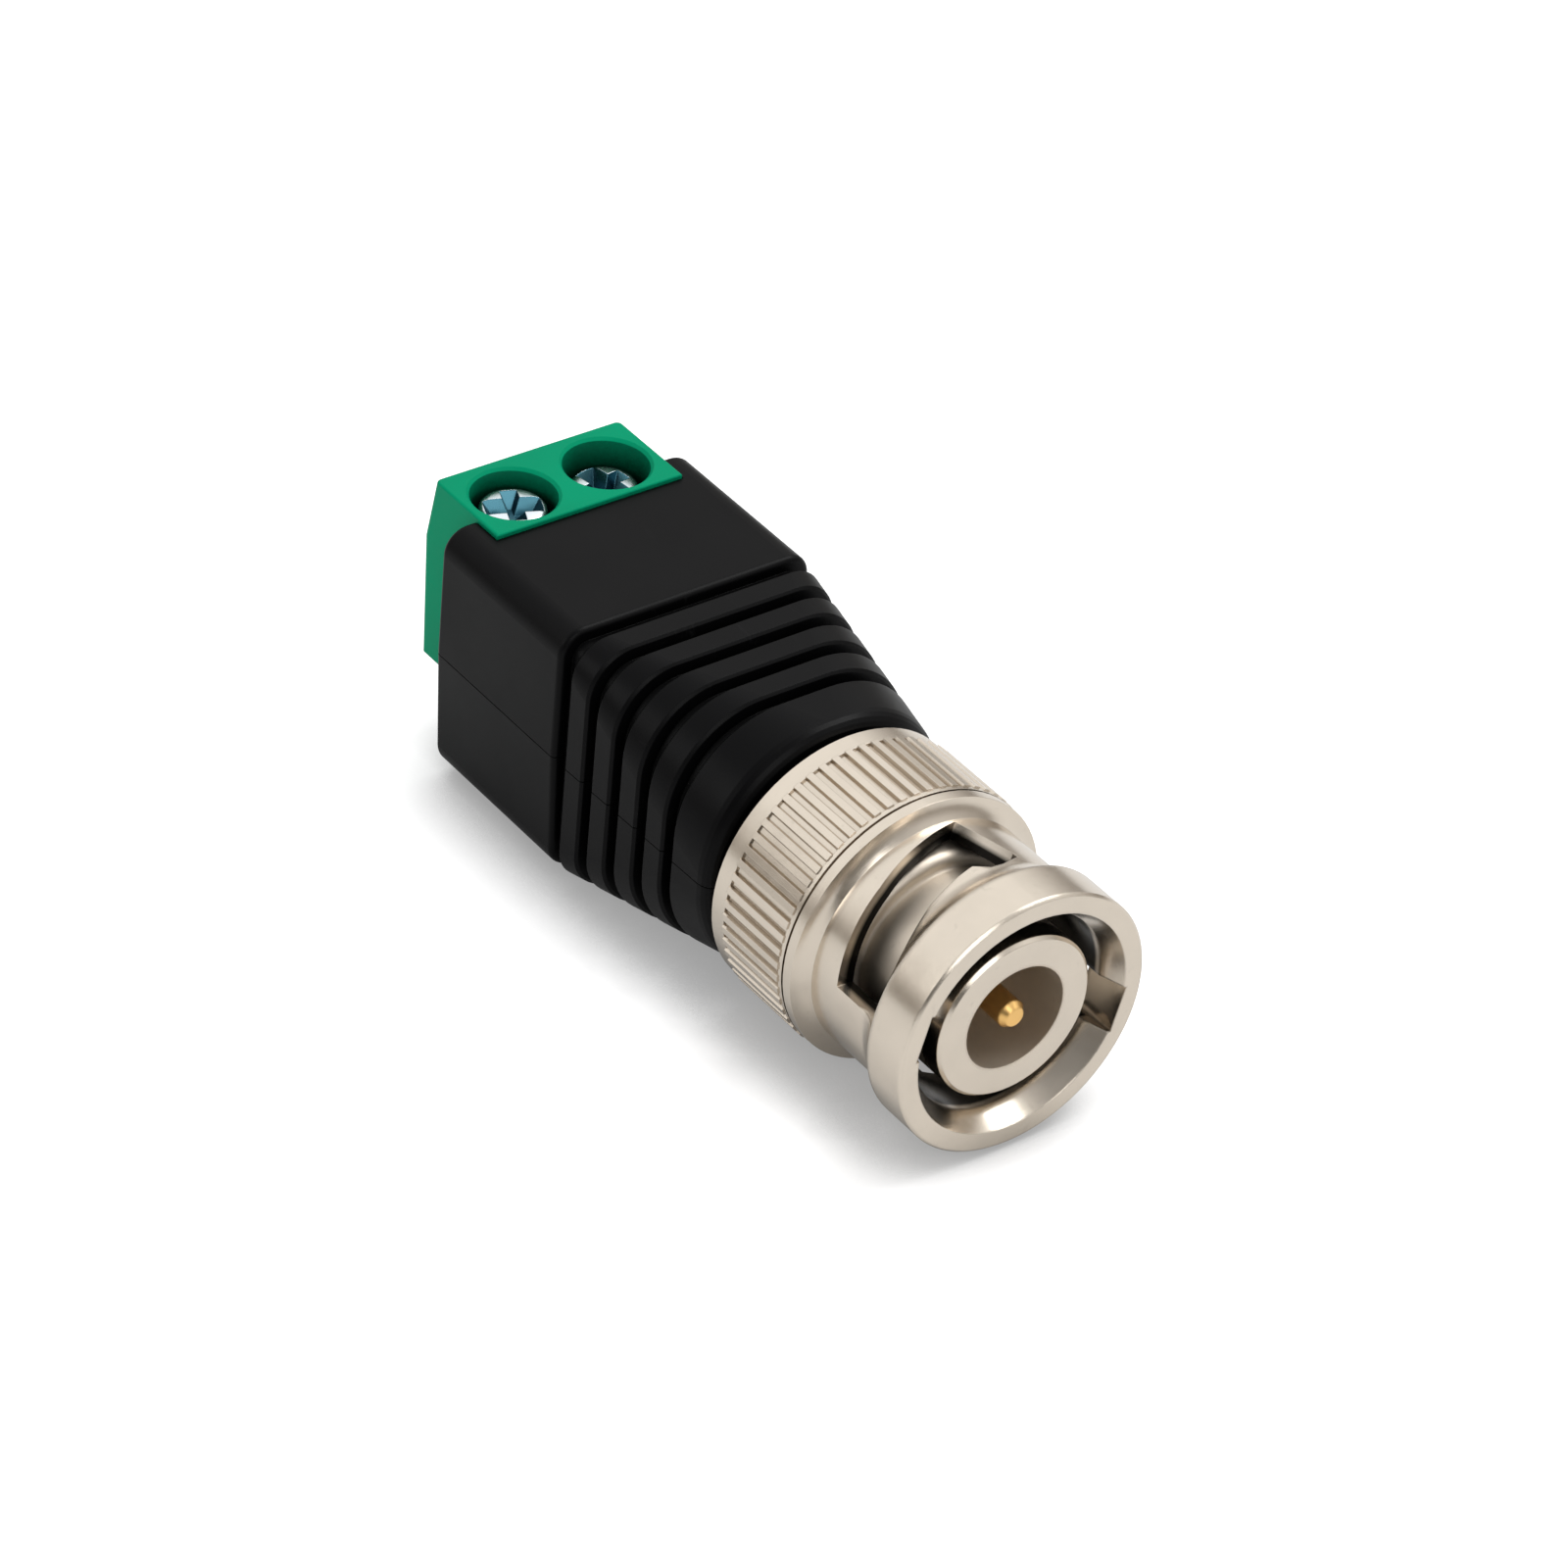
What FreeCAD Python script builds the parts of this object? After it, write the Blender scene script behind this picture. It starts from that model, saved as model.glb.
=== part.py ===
"""A plug-in video balun: bayonet coaxial plug, ribbed two-half housing, two-pole screw terminal.

Millimetres. The origin is on the plug's axis, at the front face of the outer contact sleeve.
+X points out of the plug's mouth, +Z is up and the terminal screws are turned from above.
"""

import FreeCAD
import Part

import math
import os

V = FreeCAD.Vector
X_AXIS = V(1, 0, 0)
Z_AXIS = V(0, 0, 1)

# Clearances
SLIP = 0.08            # radial play of the nut's web on the body
SEAT = 0.02            # gap between faces that are pressed or glued together
SEAM = 0.05            # gap of the seam between the two housing halves
PAST = 1.0             # how far a cutting solid runs past the face it cuts

# Plug body: outer contact sleeve, flange and shank
SLEEVE_RADIUS = 4.05
SLEEVE_BORE = 2.59
SLEEVE_LENGTH = 5.74
SLEEVE_EDGE = 0.15
BODY_FLANGE_RADIUS = 4.75
BODY_FLANGE_LENGTH = 1.30
BODY_FLANGE_ROUND = 0.35
SHANK_RADIUS = 3.90
SHANK_GROOVE_RADIUS = 3.30
SHANK_GROOVE_WIDTH = 1.00
SHANK_GROOVE_BACK = 3.00     # from the shank's rear end to the groove
INSULATOR_SEAT_RADIUS = 3.00
INSULATOR_SEAT_X = -12.0
INSULATOR_FRONT_X = -5.40
INSULATOR_SHORT = 0.40       # the insulator ends this far inside the shank

# Centre pin
PIN_RADIUS = 0.675
PIN_TIP_RADIUS = 0.45
PIN_TIP_LENGTH = 0.30
PIN_STEM_RADIUS = 0.85       # inside the insulator
PIN_COLLAR_RADIUS = 1.15
PIN_COLLAR_X = -9.0
PIN_COLLAR_LENGTH = 1.2
PIN_CUP_RADIUS = 1.00
PIN_CUP_LENGTH = 2.0
PIN_CUP_BORE = 0.40
PIN_CUP_DEPTH = 1.5

# Coupling nut, from its front face to its rear face
NUT_LEAD = 0.56              # the ring stands ahead of the sleeve by this much
RING_RADIUS = 6.54
RING_LENGTH = 2.30
RING_EDGE = 0.12
FLARE_LENGTH = 1.20
NECK_RADIUS = 5.87
NECK_LENGTH = 3.70
SHOULDER_LENGTH = 0.44
NUT_FLANGE_DROP = 0.07       # and the flange's ahead of the knurl
NUT_FLANGE_LENGTH = 0.52
NUT_GROOVE_DEPTH = 0.20
NUT_GROOVE_LENGTH = 0.12
NUT_BAND_LENGTH = 0.22
KNURL_CREST_RADIUS = 6.75
KNURL_DEPTH = 0.20
KNURL_LENGTH = 4.05
KNURL_COUNT = 60
KNURL_CREST_SHARE = 0.46
KNURL_ROOT_SHARE = 0.34
RIM_DROP = 0.10              # the rear rim's radius is this much less than the knurl's
RIM_LENGTH = 1.10
RIM_CHAMFER = 0.22
MOUTH_RADIUS = 5.57
MOUTH_DEPTH = 1.10
NUT_BORE = 5.00
NUT_WEB_LENGTH = 1.00
NUT_REAR_BORE = 5.60

# Spring, thrust washer and retaining bush
NUT_TRAVEL = 0.60             # the nut can be pulled forward by this much
SPRING_PRESSED = 0.40         # height of the spring when it is
SPRING_STRIP = 0.20
SPRING_INNER = 4.02
SPRING_OUTER = 4.65
SPRING_WAVES = 3
SPRING_STEPS = 36
WASHER_THICKNESS = 0.25
WASHER_OUTER = 4.80
BUSH_RADIUS = 5.30
BUSH_LENGTH = 2.60
BUSH_CHAMFER = 0.30

# Bayonet windows: axial places are from the front face of the ring, angles from +Y about +X
WINDOW_COUNT = 2
WINDOW_MOUTH_ANGLE = 174.0   # wide end, behind the entry groove
WINDOW_HOOK_ANGLE = 154.0    # the cam edge starts here
WINDOW_BEND_ANGLE = 127.5
WINDOW_CAM_ANGLE = 120.0     # the cam edge bends here
WINDOW_RIDGE_ANGLE = 93.0    # crest that the stud snaps over
WINDOW_DETENT_ANGLE = 86.5
WINDOW_CORNER_ANGLE = 80.0
WINDOW_END_ANGLE = 69.0
WINDOW_HOOK_BACK = 2.40
WINDOW_CAM_BACK = 3.57
WINDOW_RIDGE_BACK = 4.10
WINDOW_DETENT_BACK = 3.66
WINDOW_END_BACK = 4.02
WINDOW_END_OPEN = 0.30
WINDOW_REAR_MOUTH = 5.52
WINDOW_REAR_BEND = 6.10
WINDOW_REAR_CORNER = 7.06
WINDOW_STEP = 8.0            # degrees between the stations of the cut
ENTRY_ANGLE = 165.85
ENTRY_WIDTH = 2.32
ENTRY_FLOOR = 5.60

# Housing
NUT_GAP = 0.35               # between the nut and the housing's collar
HOUSING_LENGTH = 20.90
HOUSING_PROUD = 0.05         # the box is this much wider a side than the nut's knurl
HOUSING_HALF_HEIGHT = 6.53
HOUSING_RISE = 0.30          # the housing's middle is this much above the plug's axis
SEAM_RISE = 0.20             # and its seam is this much above it
HOUSING_DRAFT = 0.30         # the lower half is narrower at the bottom by this much a side
BOX_LENGTH = 9.50
BOX_EDGE_ROUND = 1.25
BOX_END_ROUND = 0.30
COLLAR_SHY = 0.28            # the collar's radius is this much less than the knurl's
COLLAR_SQUARE = 0.06         # what its section lacks to be a full circle
COLLAR_ROUND = 0.80
RIB_CORNER = 1.45
GROOVE_COUNT = 5
RIB_PITCH = 1.97
GROOVE_WIDTH = 0.90
GROOVE_DEPTH = 0.65
GROOVE_WALL = 0.20
GROOVE_EDGE = 0.12
WALL = 1.40
CAVITY_FRONT_BACK = 0.54     # the box cavity goes this far ahead of the box
THROAT_RADIUS = 4.30
THROAT_FRONT_BACK = 0.40     # the shank's end stands this far into the throat
SHANK_PLAY = 0.05
REAR_WALL = 1.24
LEDGE = 0.75
PEG_HEIGHT = 1.50
PEG_PLAY = 0.05
COLLAR_PEG_RADIUS = 0.50
WALL_PEG_RADIUS = 0.40
COLLAR_PEG_BACK = 5.60       # from the collar's front face
WALL_PEG_BACK = 15.0

# Terminal block
POLE_PITCH = 5.08
BLOCK_WIDTH = 10.16
BLOCK_TOP = 7.08
BLOCK_BOTTOM = -2.50
BLOCK_FRONT_IN = 1.80        # the block goes this far ahead of the housing's rear face
BLOCK_TOP_LENGTH = 5.05
BLOCK_BELLY = 0.64           # the rear face bulges this far past the top's rear edge
BLOCK_BELLY_Z = 3.80
BLOCK_HEEL = 0.37
BLOCK_HOOK_LENGTH = 0.51
BLOCK_HOOK_DROP = 0.80
BLOCK_EDGE = 0.12
BLOCK_CORNER = 0.30          # round of the rear face's upright edges
BLOCK_PLAY = 0.05
WELL_RADIUS = 2.04
WELL_BACK = 2.42             # from the block's front face to the screw axes
WELL_BEVEL = 0.14
WIRE_WIDTH = 3.00
WIRE_TOP = 1.60
WIRE_FUNNEL = 0.35

# Contact frames, screws and pressure plates
FRAME_LENGTH = 3.40
FRAME_WIDTH = 3.80
FRAME_TOP = 3.10
FRAME_BOTTOM = -1.80
FRAME_SIDE = 0.50
FRAME_ROOF = 0.80
FRAME_FLOOR = 0.60
FRAME_EDGE = 0.30
SOLDER_PIN_WIDTH = 1.00
SOLDER_PIN_REACH = 2.20      # ahead of the block's front face
SCREW_RADIUS = 1.25
THREAD_PLAY = 0.05
HEAD_RADIUS = 1.60
HEAD_HEIGHT = 1.60
HEAD_ROUND = 0.20
SCREW_SHANK = 3.00
SCREW_PITCH = 0.45
LEFT_HEAD_TOP = 6.45
RIGHT_TURNS_IN = 1.0
SLOT_LENGTH = 2.70
SLOT_WIDTH = 0.60
SLOT_DEPTH = 0.55
RECESS_RADIUS = 0.80
RECESS_DEPTH = 0.85
LEFT_SLOT_ANGLE = 68.0
RIGHT_SLOT_ANGLE = 52.0
PLATE_THICKNESS = 0.50
PLATE_LENGTH = 3.00
PLATE_PLAY = 0.10
PLATE_LIP = 0.30

# Board, transformer and leads
BOARD_THICKNESS = 1.00
BOARD_PLAY = 0.10
BOARD_BACK_GAP = 0.25        # from the block's front face
CORE_RADIUS = 2.40
CORE_HEIGHT = 3.80
CORE_FLANGE = 0.70
CORE_HUB = 1.10
CORE_FRONT_BACK = 4.10       # from the board's front edge to the core's axis
TURN_COUNT = 6
WINDING_RADIUS = 2.10
LEAD_RADIUS = 0.35
LEAD_REACH = 0.80            # a lead lies this far onto the board
LEAD_BEND = 0.80
SOLDER_BASE = 0.75
SOLDER_TOP = 0.45
SOLDER_HEIGHT = 0.85

# Stations that follow from the sizes above
NUT_FRONT = NUT_LEAD
RIM_RADIUS = KNURL_CREST_RADIUS - RIM_DROP
NUT_FLANGE_RADIUS = KNURL_CREST_RADIUS - NUT_FLANGE_DROP
NUT_GROOVE_RADIUS = NUT_FLANGE_RADIUS - NUT_GROOVE_DEPTH
HOUSING_HALF_WIDTH = KNURL_CREST_RADIUS + HOUSING_PROUD
COLLAR_RADIUS = KNURL_CREST_RADIUS - COLLAR_SHY
COLLAR_CORNER = COLLAR_RADIUS - COLLAR_SQUARE
RING_BACK = NUT_FRONT - RING_LENGTH
FLARE_BACK = RING_BACK - FLARE_LENGTH
NECK_BACK = FLARE_BACK - NECK_LENGTH
SHOULDER_BACK = NECK_BACK - SHOULDER_LENGTH
NUT_FLANGE_BACK = SHOULDER_BACK - NUT_FLANGE_LENGTH
NUT_GROOVE_BACK = NUT_FLANGE_BACK - NUT_GROOVE_LENGTH
KNURL_FRONT = NUT_GROOVE_BACK - NUT_BAND_LENGTH
KNURL_BACK = KNURL_FRONT - KNURL_LENGTH
NUT_BACK = KNURL_BACK - RIM_LENGTH
BODY_FLANGE_FRONT = -SLEEVE_LENGTH
BODY_FLANGE_BACK = BODY_FLANGE_FRONT - BODY_FLANGE_LENGTH
SPRING_FRONT = BODY_FLANGE_BACK - SEAT
SPRING_HEIGHT = SPRING_PRESSED + NUT_TRAVEL
WASHER_FRONT = SPRING_FRONT - SPRING_HEIGHT - SEAT
WEB_FRONT = WASHER_FRONT - WASHER_THICKNESS - SEAT
WEB_BACK = WEB_FRONT - NUT_WEB_LENGTH
BUSH_FRONT = WEB_BACK - SEAT
COLLAR_FRONT = NUT_BACK - NUT_GAP
HOUSING_BACK = COLLAR_FRONT - HOUSING_LENGTH
BOX_FRONT = HOUSING_BACK + BOX_LENGTH
CAVITY_FRONT = BOX_FRONT + CAVITY_FRONT_BACK
GROOVES_FRONT = BOX_FRONT + (GROOVE_COUNT - 1) * RIB_PITCH + GROOVE_WIDTH
THROAT_FRONT = BOX_FRONT + 2 * RIB_PITCH + GROOVE_WIDTH
SHANK_BACK = THROAT_FRONT - THROAT_FRONT_BACK
BLOCK_FRONT = HOUSING_BACK + BLOCK_FRONT_IN
SCREW_X = BLOCK_FRONT - WELL_BACK
LEFT_Y = -POLE_PITCH / 2
RIGHT_Y = POLE_PITCH / 2
FLOOR_TOP = FRAME_BOTTOM + FRAME_FLOOR
ROOF_BOTTOM = FRAME_TOP - FRAME_ROOF
RIGHT_HEAD_TOP = LEFT_HEAD_TOP - RIGHT_TURNS_IN * SCREW_PITCH
CAVITY_HALF_WIDTH = BLOCK_WIDTH / 2 + BLOCK_PLAY
HOUSING_TOP = HOUSING_RISE + HOUSING_HALF_HEIGHT
HOUSING_BOTTOM = HOUSING_RISE - HOUSING_HALF_HEIGHT
CAVITY_TOP = HOUSING_TOP - WALL
CAVITY_FLOOR = HOUSING_BOTTOM + WALL
BOARD_TOP = FRAME_BOTTOM - SEAT
BOARD_BOTTOM = BOARD_TOP - BOARD_THICKNESS
BOARD_BACK = BLOCK_FRONT + BOARD_BACK_GAP
BOARD_FRONT = CAVITY_FRONT - BOARD_PLAY
CORE_X = BOARD_FRONT - CORE_FRONT_BACK
LEAD_Z = BOARD_TOP + SEAT + LEAD_RADIUS
GROUND_LEAD_RADIUS = (SHANK_RADIUS + INSULATOR_SEAT_RADIUS) / 2


def box(low, high):
    """A box between two corners."""
    size = V(*high) - V(*low)
    return Part.makeBox(size.x, size.y, size.z, V(*low))


def rod(radius, start, end):
    """A round bar between two points."""
    along = V(*end) - V(*start)
    return Part.makeCylinder(radius, along.Length, V(*start), along)


def ring(inner, outer, back, front):
    """A round ring on the plug's axis."""
    bar = rod(outer, (back, 0, 0), (front, 0, 0))
    hole = rod(inner, (back - PAST, 0, 0), (front + PAST, 0, 0))
    return bar.cut(hole)


def outline(start, steps, place):
    """A closed wire of lines and arcs. A step is a point, or a pair: a point passed, an end."""
    edges = []
    here = start
    for step in list(steps) + [start]:
        if isinstance(step[0], tuple):
            through, end = step
            edges.append(Part.Arc(place(*here), place(*through), place(*end)).toShape())
        else:
            end = step
            if end == here:
                continue
            edges.append(Part.LineSegment(place(*here), place(*end)).toShape())
        here = end
    return Part.Wire(edges)


def turned(start, steps):
    """A solid turned about the plug's axis from an outline in (x, radius)."""
    wire = outline(start, steps, lambda x, r: V(x, 0, r))
    return Part.Face(wire).revolve(V(0, 0, 0), X_AXIS, 360)


def turned_upright(start, steps, x, y):
    """A solid turned about an upright axis from an outline in (radius, z)."""
    wire = outline(start, steps, lambda r, z: V(x + r, y, z))
    return Part.Face(wire).revolve(V(x, y, 0), Z_AXIS, 360)


def corner(centre, radius, middle_deg, end_deg):
    """An arc step about a centre, given by the angles of its middle and of its end."""
    def at(deg):
        a = math.radians(deg)
        return (centre[0] + radius * math.cos(a), centre[1] + radius * math.sin(a))
    return (at(middle_deg), at(end_deg))


def concave(start, end, sag):
    """An arc step from start to end that dips by sag towards the axis side."""
    run = (end[0] - start[0], end[1] - start[1])
    length = math.hypot(*run)
    normal = (run[1] / length, -run[0] / length)
    side = -1 if normal[1] > 0 else 1
    middle = ((start[0] + end[0]) / 2 + side * normal[0] * sag,
              (start[1] + end[1]) / 2 + side * normal[1] * sag)
    return (middle, end)


def plug_body():
    """Sleeve, flange and shank, bored through for the insulator."""
    groove_front = SHANK_BACK + SHANK_GROOVE_BACK + SHANK_GROOVE_WIDTH
    groove_back = SHANK_BACK + SHANK_GROOVE_BACK
    round_centre = (BODY_FLANGE_FRONT - BODY_FLANGE_ROUND,
                    BODY_FLANGE_RADIUS - BODY_FLANGE_ROUND)
    return turned((0, SLEEVE_BORE), [
        (0, SLEEVE_RADIUS - SLEEVE_EDGE),
        (-SLEEVE_EDGE, SLEEVE_RADIUS),
        (BODY_FLANGE_FRONT, SLEEVE_RADIUS),
        (BODY_FLANGE_FRONT, BODY_FLANGE_RADIUS - BODY_FLANGE_ROUND),
        corner(round_centre, BODY_FLANGE_ROUND, 45, 90),
        (BODY_FLANGE_BACK, BODY_FLANGE_RADIUS),
        (BODY_FLANGE_BACK, SHANK_RADIUS),
        (groove_front, SHANK_RADIUS),
        (groove_front, SHANK_GROOVE_RADIUS),
        (groove_back, SHANK_GROOVE_RADIUS),
        (groove_back, SHANK_RADIUS),
        (SHANK_BACK, SHANK_RADIUS),
        (SHANK_BACK, INSULATOR_SEAT_RADIUS),
        (INSULATOR_SEAT_X, INSULATOR_SEAT_RADIUS),
        (INSULATOR_SEAT_X, SLEEVE_BORE),
    ])


def pin_stem(play):
    """The pin's outline at its collar, grown by a play for the hole that it sits in."""
    collar_back = PIN_COLLAR_X - PIN_COLLAR_LENGTH
    return [
        (PIN_COLLAR_X + play, PIN_STEM_RADIUS + play),
        (PIN_COLLAR_X + play, PIN_COLLAR_RADIUS + play),
        (collar_back - play, PIN_COLLAR_RADIUS + play),
        (collar_back - play, PIN_STEM_RADIUS + play),
    ]


def centre_pin():
    """Gold-plated contact: thin in the mouth, a stem and a collar in the insulator, a cup."""
    shoulder = INSULATOR_FRONT_X + SEAT
    cup_front = SHANK_BACK + INSULATOR_SHORT - SEAT
    cup_back = cup_front - PIN_CUP_LENGTH
    cup_floor = cup_back + PIN_CUP_DEPTH
    return turned((0, 0), [
        (0, PIN_TIP_RADIUS),
        (-PIN_TIP_LENGTH, PIN_RADIUS),
        (shoulder, PIN_RADIUS),
        (shoulder, PIN_STEM_RADIUS),
    ] + pin_stem(0) + [
        (cup_front, PIN_STEM_RADIUS),
        (cup_front, PIN_CUP_RADIUS),
        (cup_back, PIN_CUP_RADIUS),
        (cup_back, PIN_CUP_BORE),
        (cup_floor, PIN_CUP_BORE),
        (cup_floor, 0),
    ])


def insulator():
    """Stepped bush, pushed in from the rear, that holds the pin by its collar."""
    back = SHANK_BACK + INSULATOR_SHORT
    step = INSULATOR_SEAT_X - SEAT
    return turned((INSULATOR_FRONT_X, PIN_STEM_RADIUS + SEAT), pin_stem(SEAT) + [
        (back, PIN_STEM_RADIUS + SEAT),
        (back, INSULATOR_SEAT_RADIUS - SEAT),
        (step, INSULATOR_SEAT_RADIUS - SEAT),
        (step, SLEEVE_BORE - SEAT),
        (INSULATOR_FRONT_X, SLEEVE_BORE - SEAT),
    ])


def knurl_band():
    """Straight knurl: flat crests and flat-bottomed flutes."""
    root = KNURL_CREST_RADIUS - KNURL_DEPTH
    step = 360 / KNURL_COUNT
    points = []
    for tooth in range(KNURL_COUNT):
        for share, radius in ((-KNURL_CREST_SHARE / 2, KNURL_CREST_RADIUS),
                              (KNURL_CREST_SHARE / 2, KNURL_CREST_RADIUS),
                              (0.5 - KNURL_ROOT_SHARE / 2, root),
                              (0.5 + KNURL_ROOT_SHARE / 2, root)):
            a = math.radians((tooth + share) * step)
            points.append(V(KNURL_BACK, radius * math.cos(a), radius * math.sin(a)))
    face = Part.Face(Part.makePolygon(points + points[:1]))
    core = rod(NUT_REAR_BORE, (KNURL_BACK - PAST, 0, 0), (KNURL_FRONT + PAST, 0, 0))
    return face.extrude(V(KNURL_LENGTH, 0, 0)).cut(core)


def along_keys(keys, angle):
    """The axial place at an angle, along a run of (angle, place) keys."""
    for (a0, b0), (a1, b1) in zip(keys, keys[1:]):
        if angle <= a1:
            return b0 + (b1 - b0) * (angle - a0) / (a1 - a0)
    return keys[-1][1]


def window_stations():
    """Angle, front edge and rear edge of the bayonet window, as the stud travels through it."""
    front_keys = [
        (WINDOW_END_ANGLE, WINDOW_END_BACK),
        (WINDOW_CORNER_ANGLE, WINDOW_DETENT_BACK),
        (WINDOW_DETENT_ANGLE, WINDOW_DETENT_BACK),
        (WINDOW_RIDGE_ANGLE, WINDOW_RIDGE_BACK),
        (WINDOW_CAM_ANGLE, WINDOW_CAM_BACK),
        (WINDOW_HOOK_ANGLE, WINDOW_HOOK_BACK),
        (WINDOW_MOUTH_ANGLE, WINDOW_HOOK_BACK),
    ]
    rear_keys = [
        (WINDOW_END_ANGLE, WINDOW_END_BACK + WINDOW_END_OPEN),
        (WINDOW_CORNER_ANGLE, WINDOW_REAR_CORNER),
        (WINDOW_BEND_ANGLE, WINDOW_REAR_BEND),
        (WINDOW_MOUTH_ANGLE, WINDOW_REAR_MOUTH),
    ]
    turns = sorted({angle for angle, place in front_keys + rear_keys})
    angles = []
    for a0, a1 in zip(turns, turns[1:]):
        count = max(1, math.ceil((a1 - a0) / WINDOW_STEP))
        angles += [a0 + (a1 - a0) * k / count for k in range(count)]
    angles.append(turns[-1])
    return [(a, along_keys(front_keys, a), along_keys(rear_keys, a)) for a in angles]


def window_cutter():
    """A cutting solid through the neck's wall that follows the window's stations."""
    inner = NUT_BORE - PAST
    outer = RING_RADIUS + PAST
    sections = []
    for angle, front, rear in window_stations():
        a = math.radians(angle)
        ray = V(0, math.cos(a), math.sin(a))
        low, high = NUT_FRONT - rear, NUT_FRONT - front
        points = [V(low, 0, 0) + ray * inner, V(high, 0, 0) + ray * inner,
                  V(high, 0, 0) + ray * outer, V(low, 0, 0) + ray * outer]
        sections.append(Part.makePolygon(points + points[:1]))
    return Part.makeLoft(sections, True, True)


def entry_cutter():
    """The flat-floored groove that lets a stud in from the mouth to the window."""
    groove = box((NUT_FRONT - WINDOW_HOOK_BACK - PAST / 2, 0, -ENTRY_WIDTH / 2),
                 (NUT_FRONT + PAST, ENTRY_FLOOR, ENTRY_WIDTH / 2))
    groove.rotate(V(0, 0, 0), X_AXIS, ENTRY_ANGLE)
    return groove


def coupling_nut():
    """Bayonet nut: plain ring, neck with two windows, knurled grip, and a web that holds it."""
    shoulder_start = (NECK_BACK, NECK_RADIUS)
    flare_end = (FLARE_BACK, NECK_RADIUS)
    outer = [
        (NUT_FRONT, RING_RADIUS - RING_EDGE),
        (NUT_FRONT - RING_EDGE, RING_RADIUS),
        (RING_BACK, RING_RADIUS),
        concave((RING_BACK, RING_RADIUS), flare_end, 0.10 * FLARE_LENGTH),
        shoulder_start,
        concave(shoulder_start, (SHOULDER_BACK, NUT_FLANGE_RADIUS), 0.12 * SHOULDER_LENGTH),
        (NUT_FLANGE_BACK, NUT_FLANGE_RADIUS),
        (NUT_FLANGE_BACK, NUT_GROOVE_RADIUS),
        (NUT_GROOVE_BACK, NUT_GROOVE_RADIUS),
        (NUT_GROOVE_BACK, NUT_FLANGE_RADIUS),
        (KNURL_FRONT, NUT_FLANGE_RADIUS),
        (KNURL_FRONT, KNURL_CREST_RADIUS - KNURL_DEPTH),
        (KNURL_BACK, KNURL_CREST_RADIUS - KNURL_DEPTH),
        (KNURL_BACK, RIM_RADIUS),
        (NUT_BACK + RIM_CHAMFER, RIM_RADIUS),
        (NUT_BACK, RIM_RADIUS - RIM_CHAMFER),
    ]
    inner = [
        (NUT_BACK, NUT_REAR_BORE),
        (WEB_BACK, NUT_REAR_BORE),
        (WEB_BACK, SHANK_RADIUS + SLIP),
        (WEB_FRONT, SHANK_RADIUS + SLIP),
        (WEB_FRONT, NUT_BORE),
        (NUT_FRONT - MOUTH_DEPTH, NUT_BORE),
    ]
    nut = turned((NUT_FRONT, MOUTH_RADIUS), outer + inner).fuse(knurl_band())
    cutters = []
    for k in range(WINDOW_COUNT):
        for cutter in (window_cutter(), entry_cutter()):
            cutter.rotate(V(0, 0, 0), X_AXIS, k * 360 / WINDOW_COUNT)
            cutters.append(cutter)
    return nut.cut(cutters).removeSplitter()


def wave_spring():
    """A flat strip ring that waves between the body's flange and the thrust washer."""
    swing = (SPRING_HEIGHT - SPRING_STRIP) / 2
    middle = SPRING_FRONT - SPRING_HEIGHT / 2
    halves = []
    for half in range(2):
        sections = []
        for k in range(SPRING_STEPS // 2 + 1):
            a = 2 * math.pi * (k / SPRING_STEPS + half / 2)
            x = middle + swing * math.cos(SPRING_WAVES * a)
            ray = V(0, math.cos(a), math.sin(a))
            points = [V(x + side * SPRING_STRIP / 2, 0, 0) + ray * radius
                      for side, radius in ((-1, SPRING_INNER), (1, SPRING_INNER),
                                           (1, SPRING_OUTER), (-1, SPRING_OUTER))]
            sections.append(Part.makePolygon(points + points[:1]))
        halves.append(Part.makeLoft(sections, True, True))
    return halves[0].fuse(halves[1])


def thrust_washer():
    """Flat washer between the spring and the nut's web."""
    return ring(SHANK_RADIUS + SLIP, WASHER_OUTER, WASHER_FRONT - WASHER_THICKNESS, WASHER_FRONT)


def retaining_bush():
    """Bush pressed on the shank behind the nut's web."""
    back = BUSH_FRONT - BUSH_LENGTH
    return turned((BUSH_FRONT, SHANK_RADIUS + SEAT), [
        (BUSH_FRONT, BUSH_RADIUS - BUSH_CHAMFER),
        (BUSH_FRONT - BUSH_CHAMFER, BUSH_RADIUS),
        (back + BUSH_CHAMFER, BUSH_RADIUS),
        (back, BUSH_RADIUS - BUSH_CHAMFER),
        (back, SHANK_RADIUS + SEAT),
    ])


def rounded_section(x, half_width, half_height, radius):
    """A rounded rectangle across the axis, round the housing's middle."""
    w, h = half_width - radius, half_height - radius
    edges = []
    centres = ((w, h), (-w, h), (-w, -h), (w, -h))
    for k, (y, z) in enumerate(centres):
        arc = Part.makeCircle(radius, V(x, y, HOUSING_RISE + z), X_AXIS, 90 * k, 90 * k + 90)
        edges.append(arc)
    wire_edges = []
    for k, arc in enumerate(edges):
        following = edges[(k + 1) % 4]
        wire_edges.append(arc)
        wire_edges.append(Part.LineSegment(arc.valueAt(arc.LastParameter),
                                           following.valueAt(following.FirstParameter)).toShape())
    return Part.Wire(wire_edges)


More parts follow.
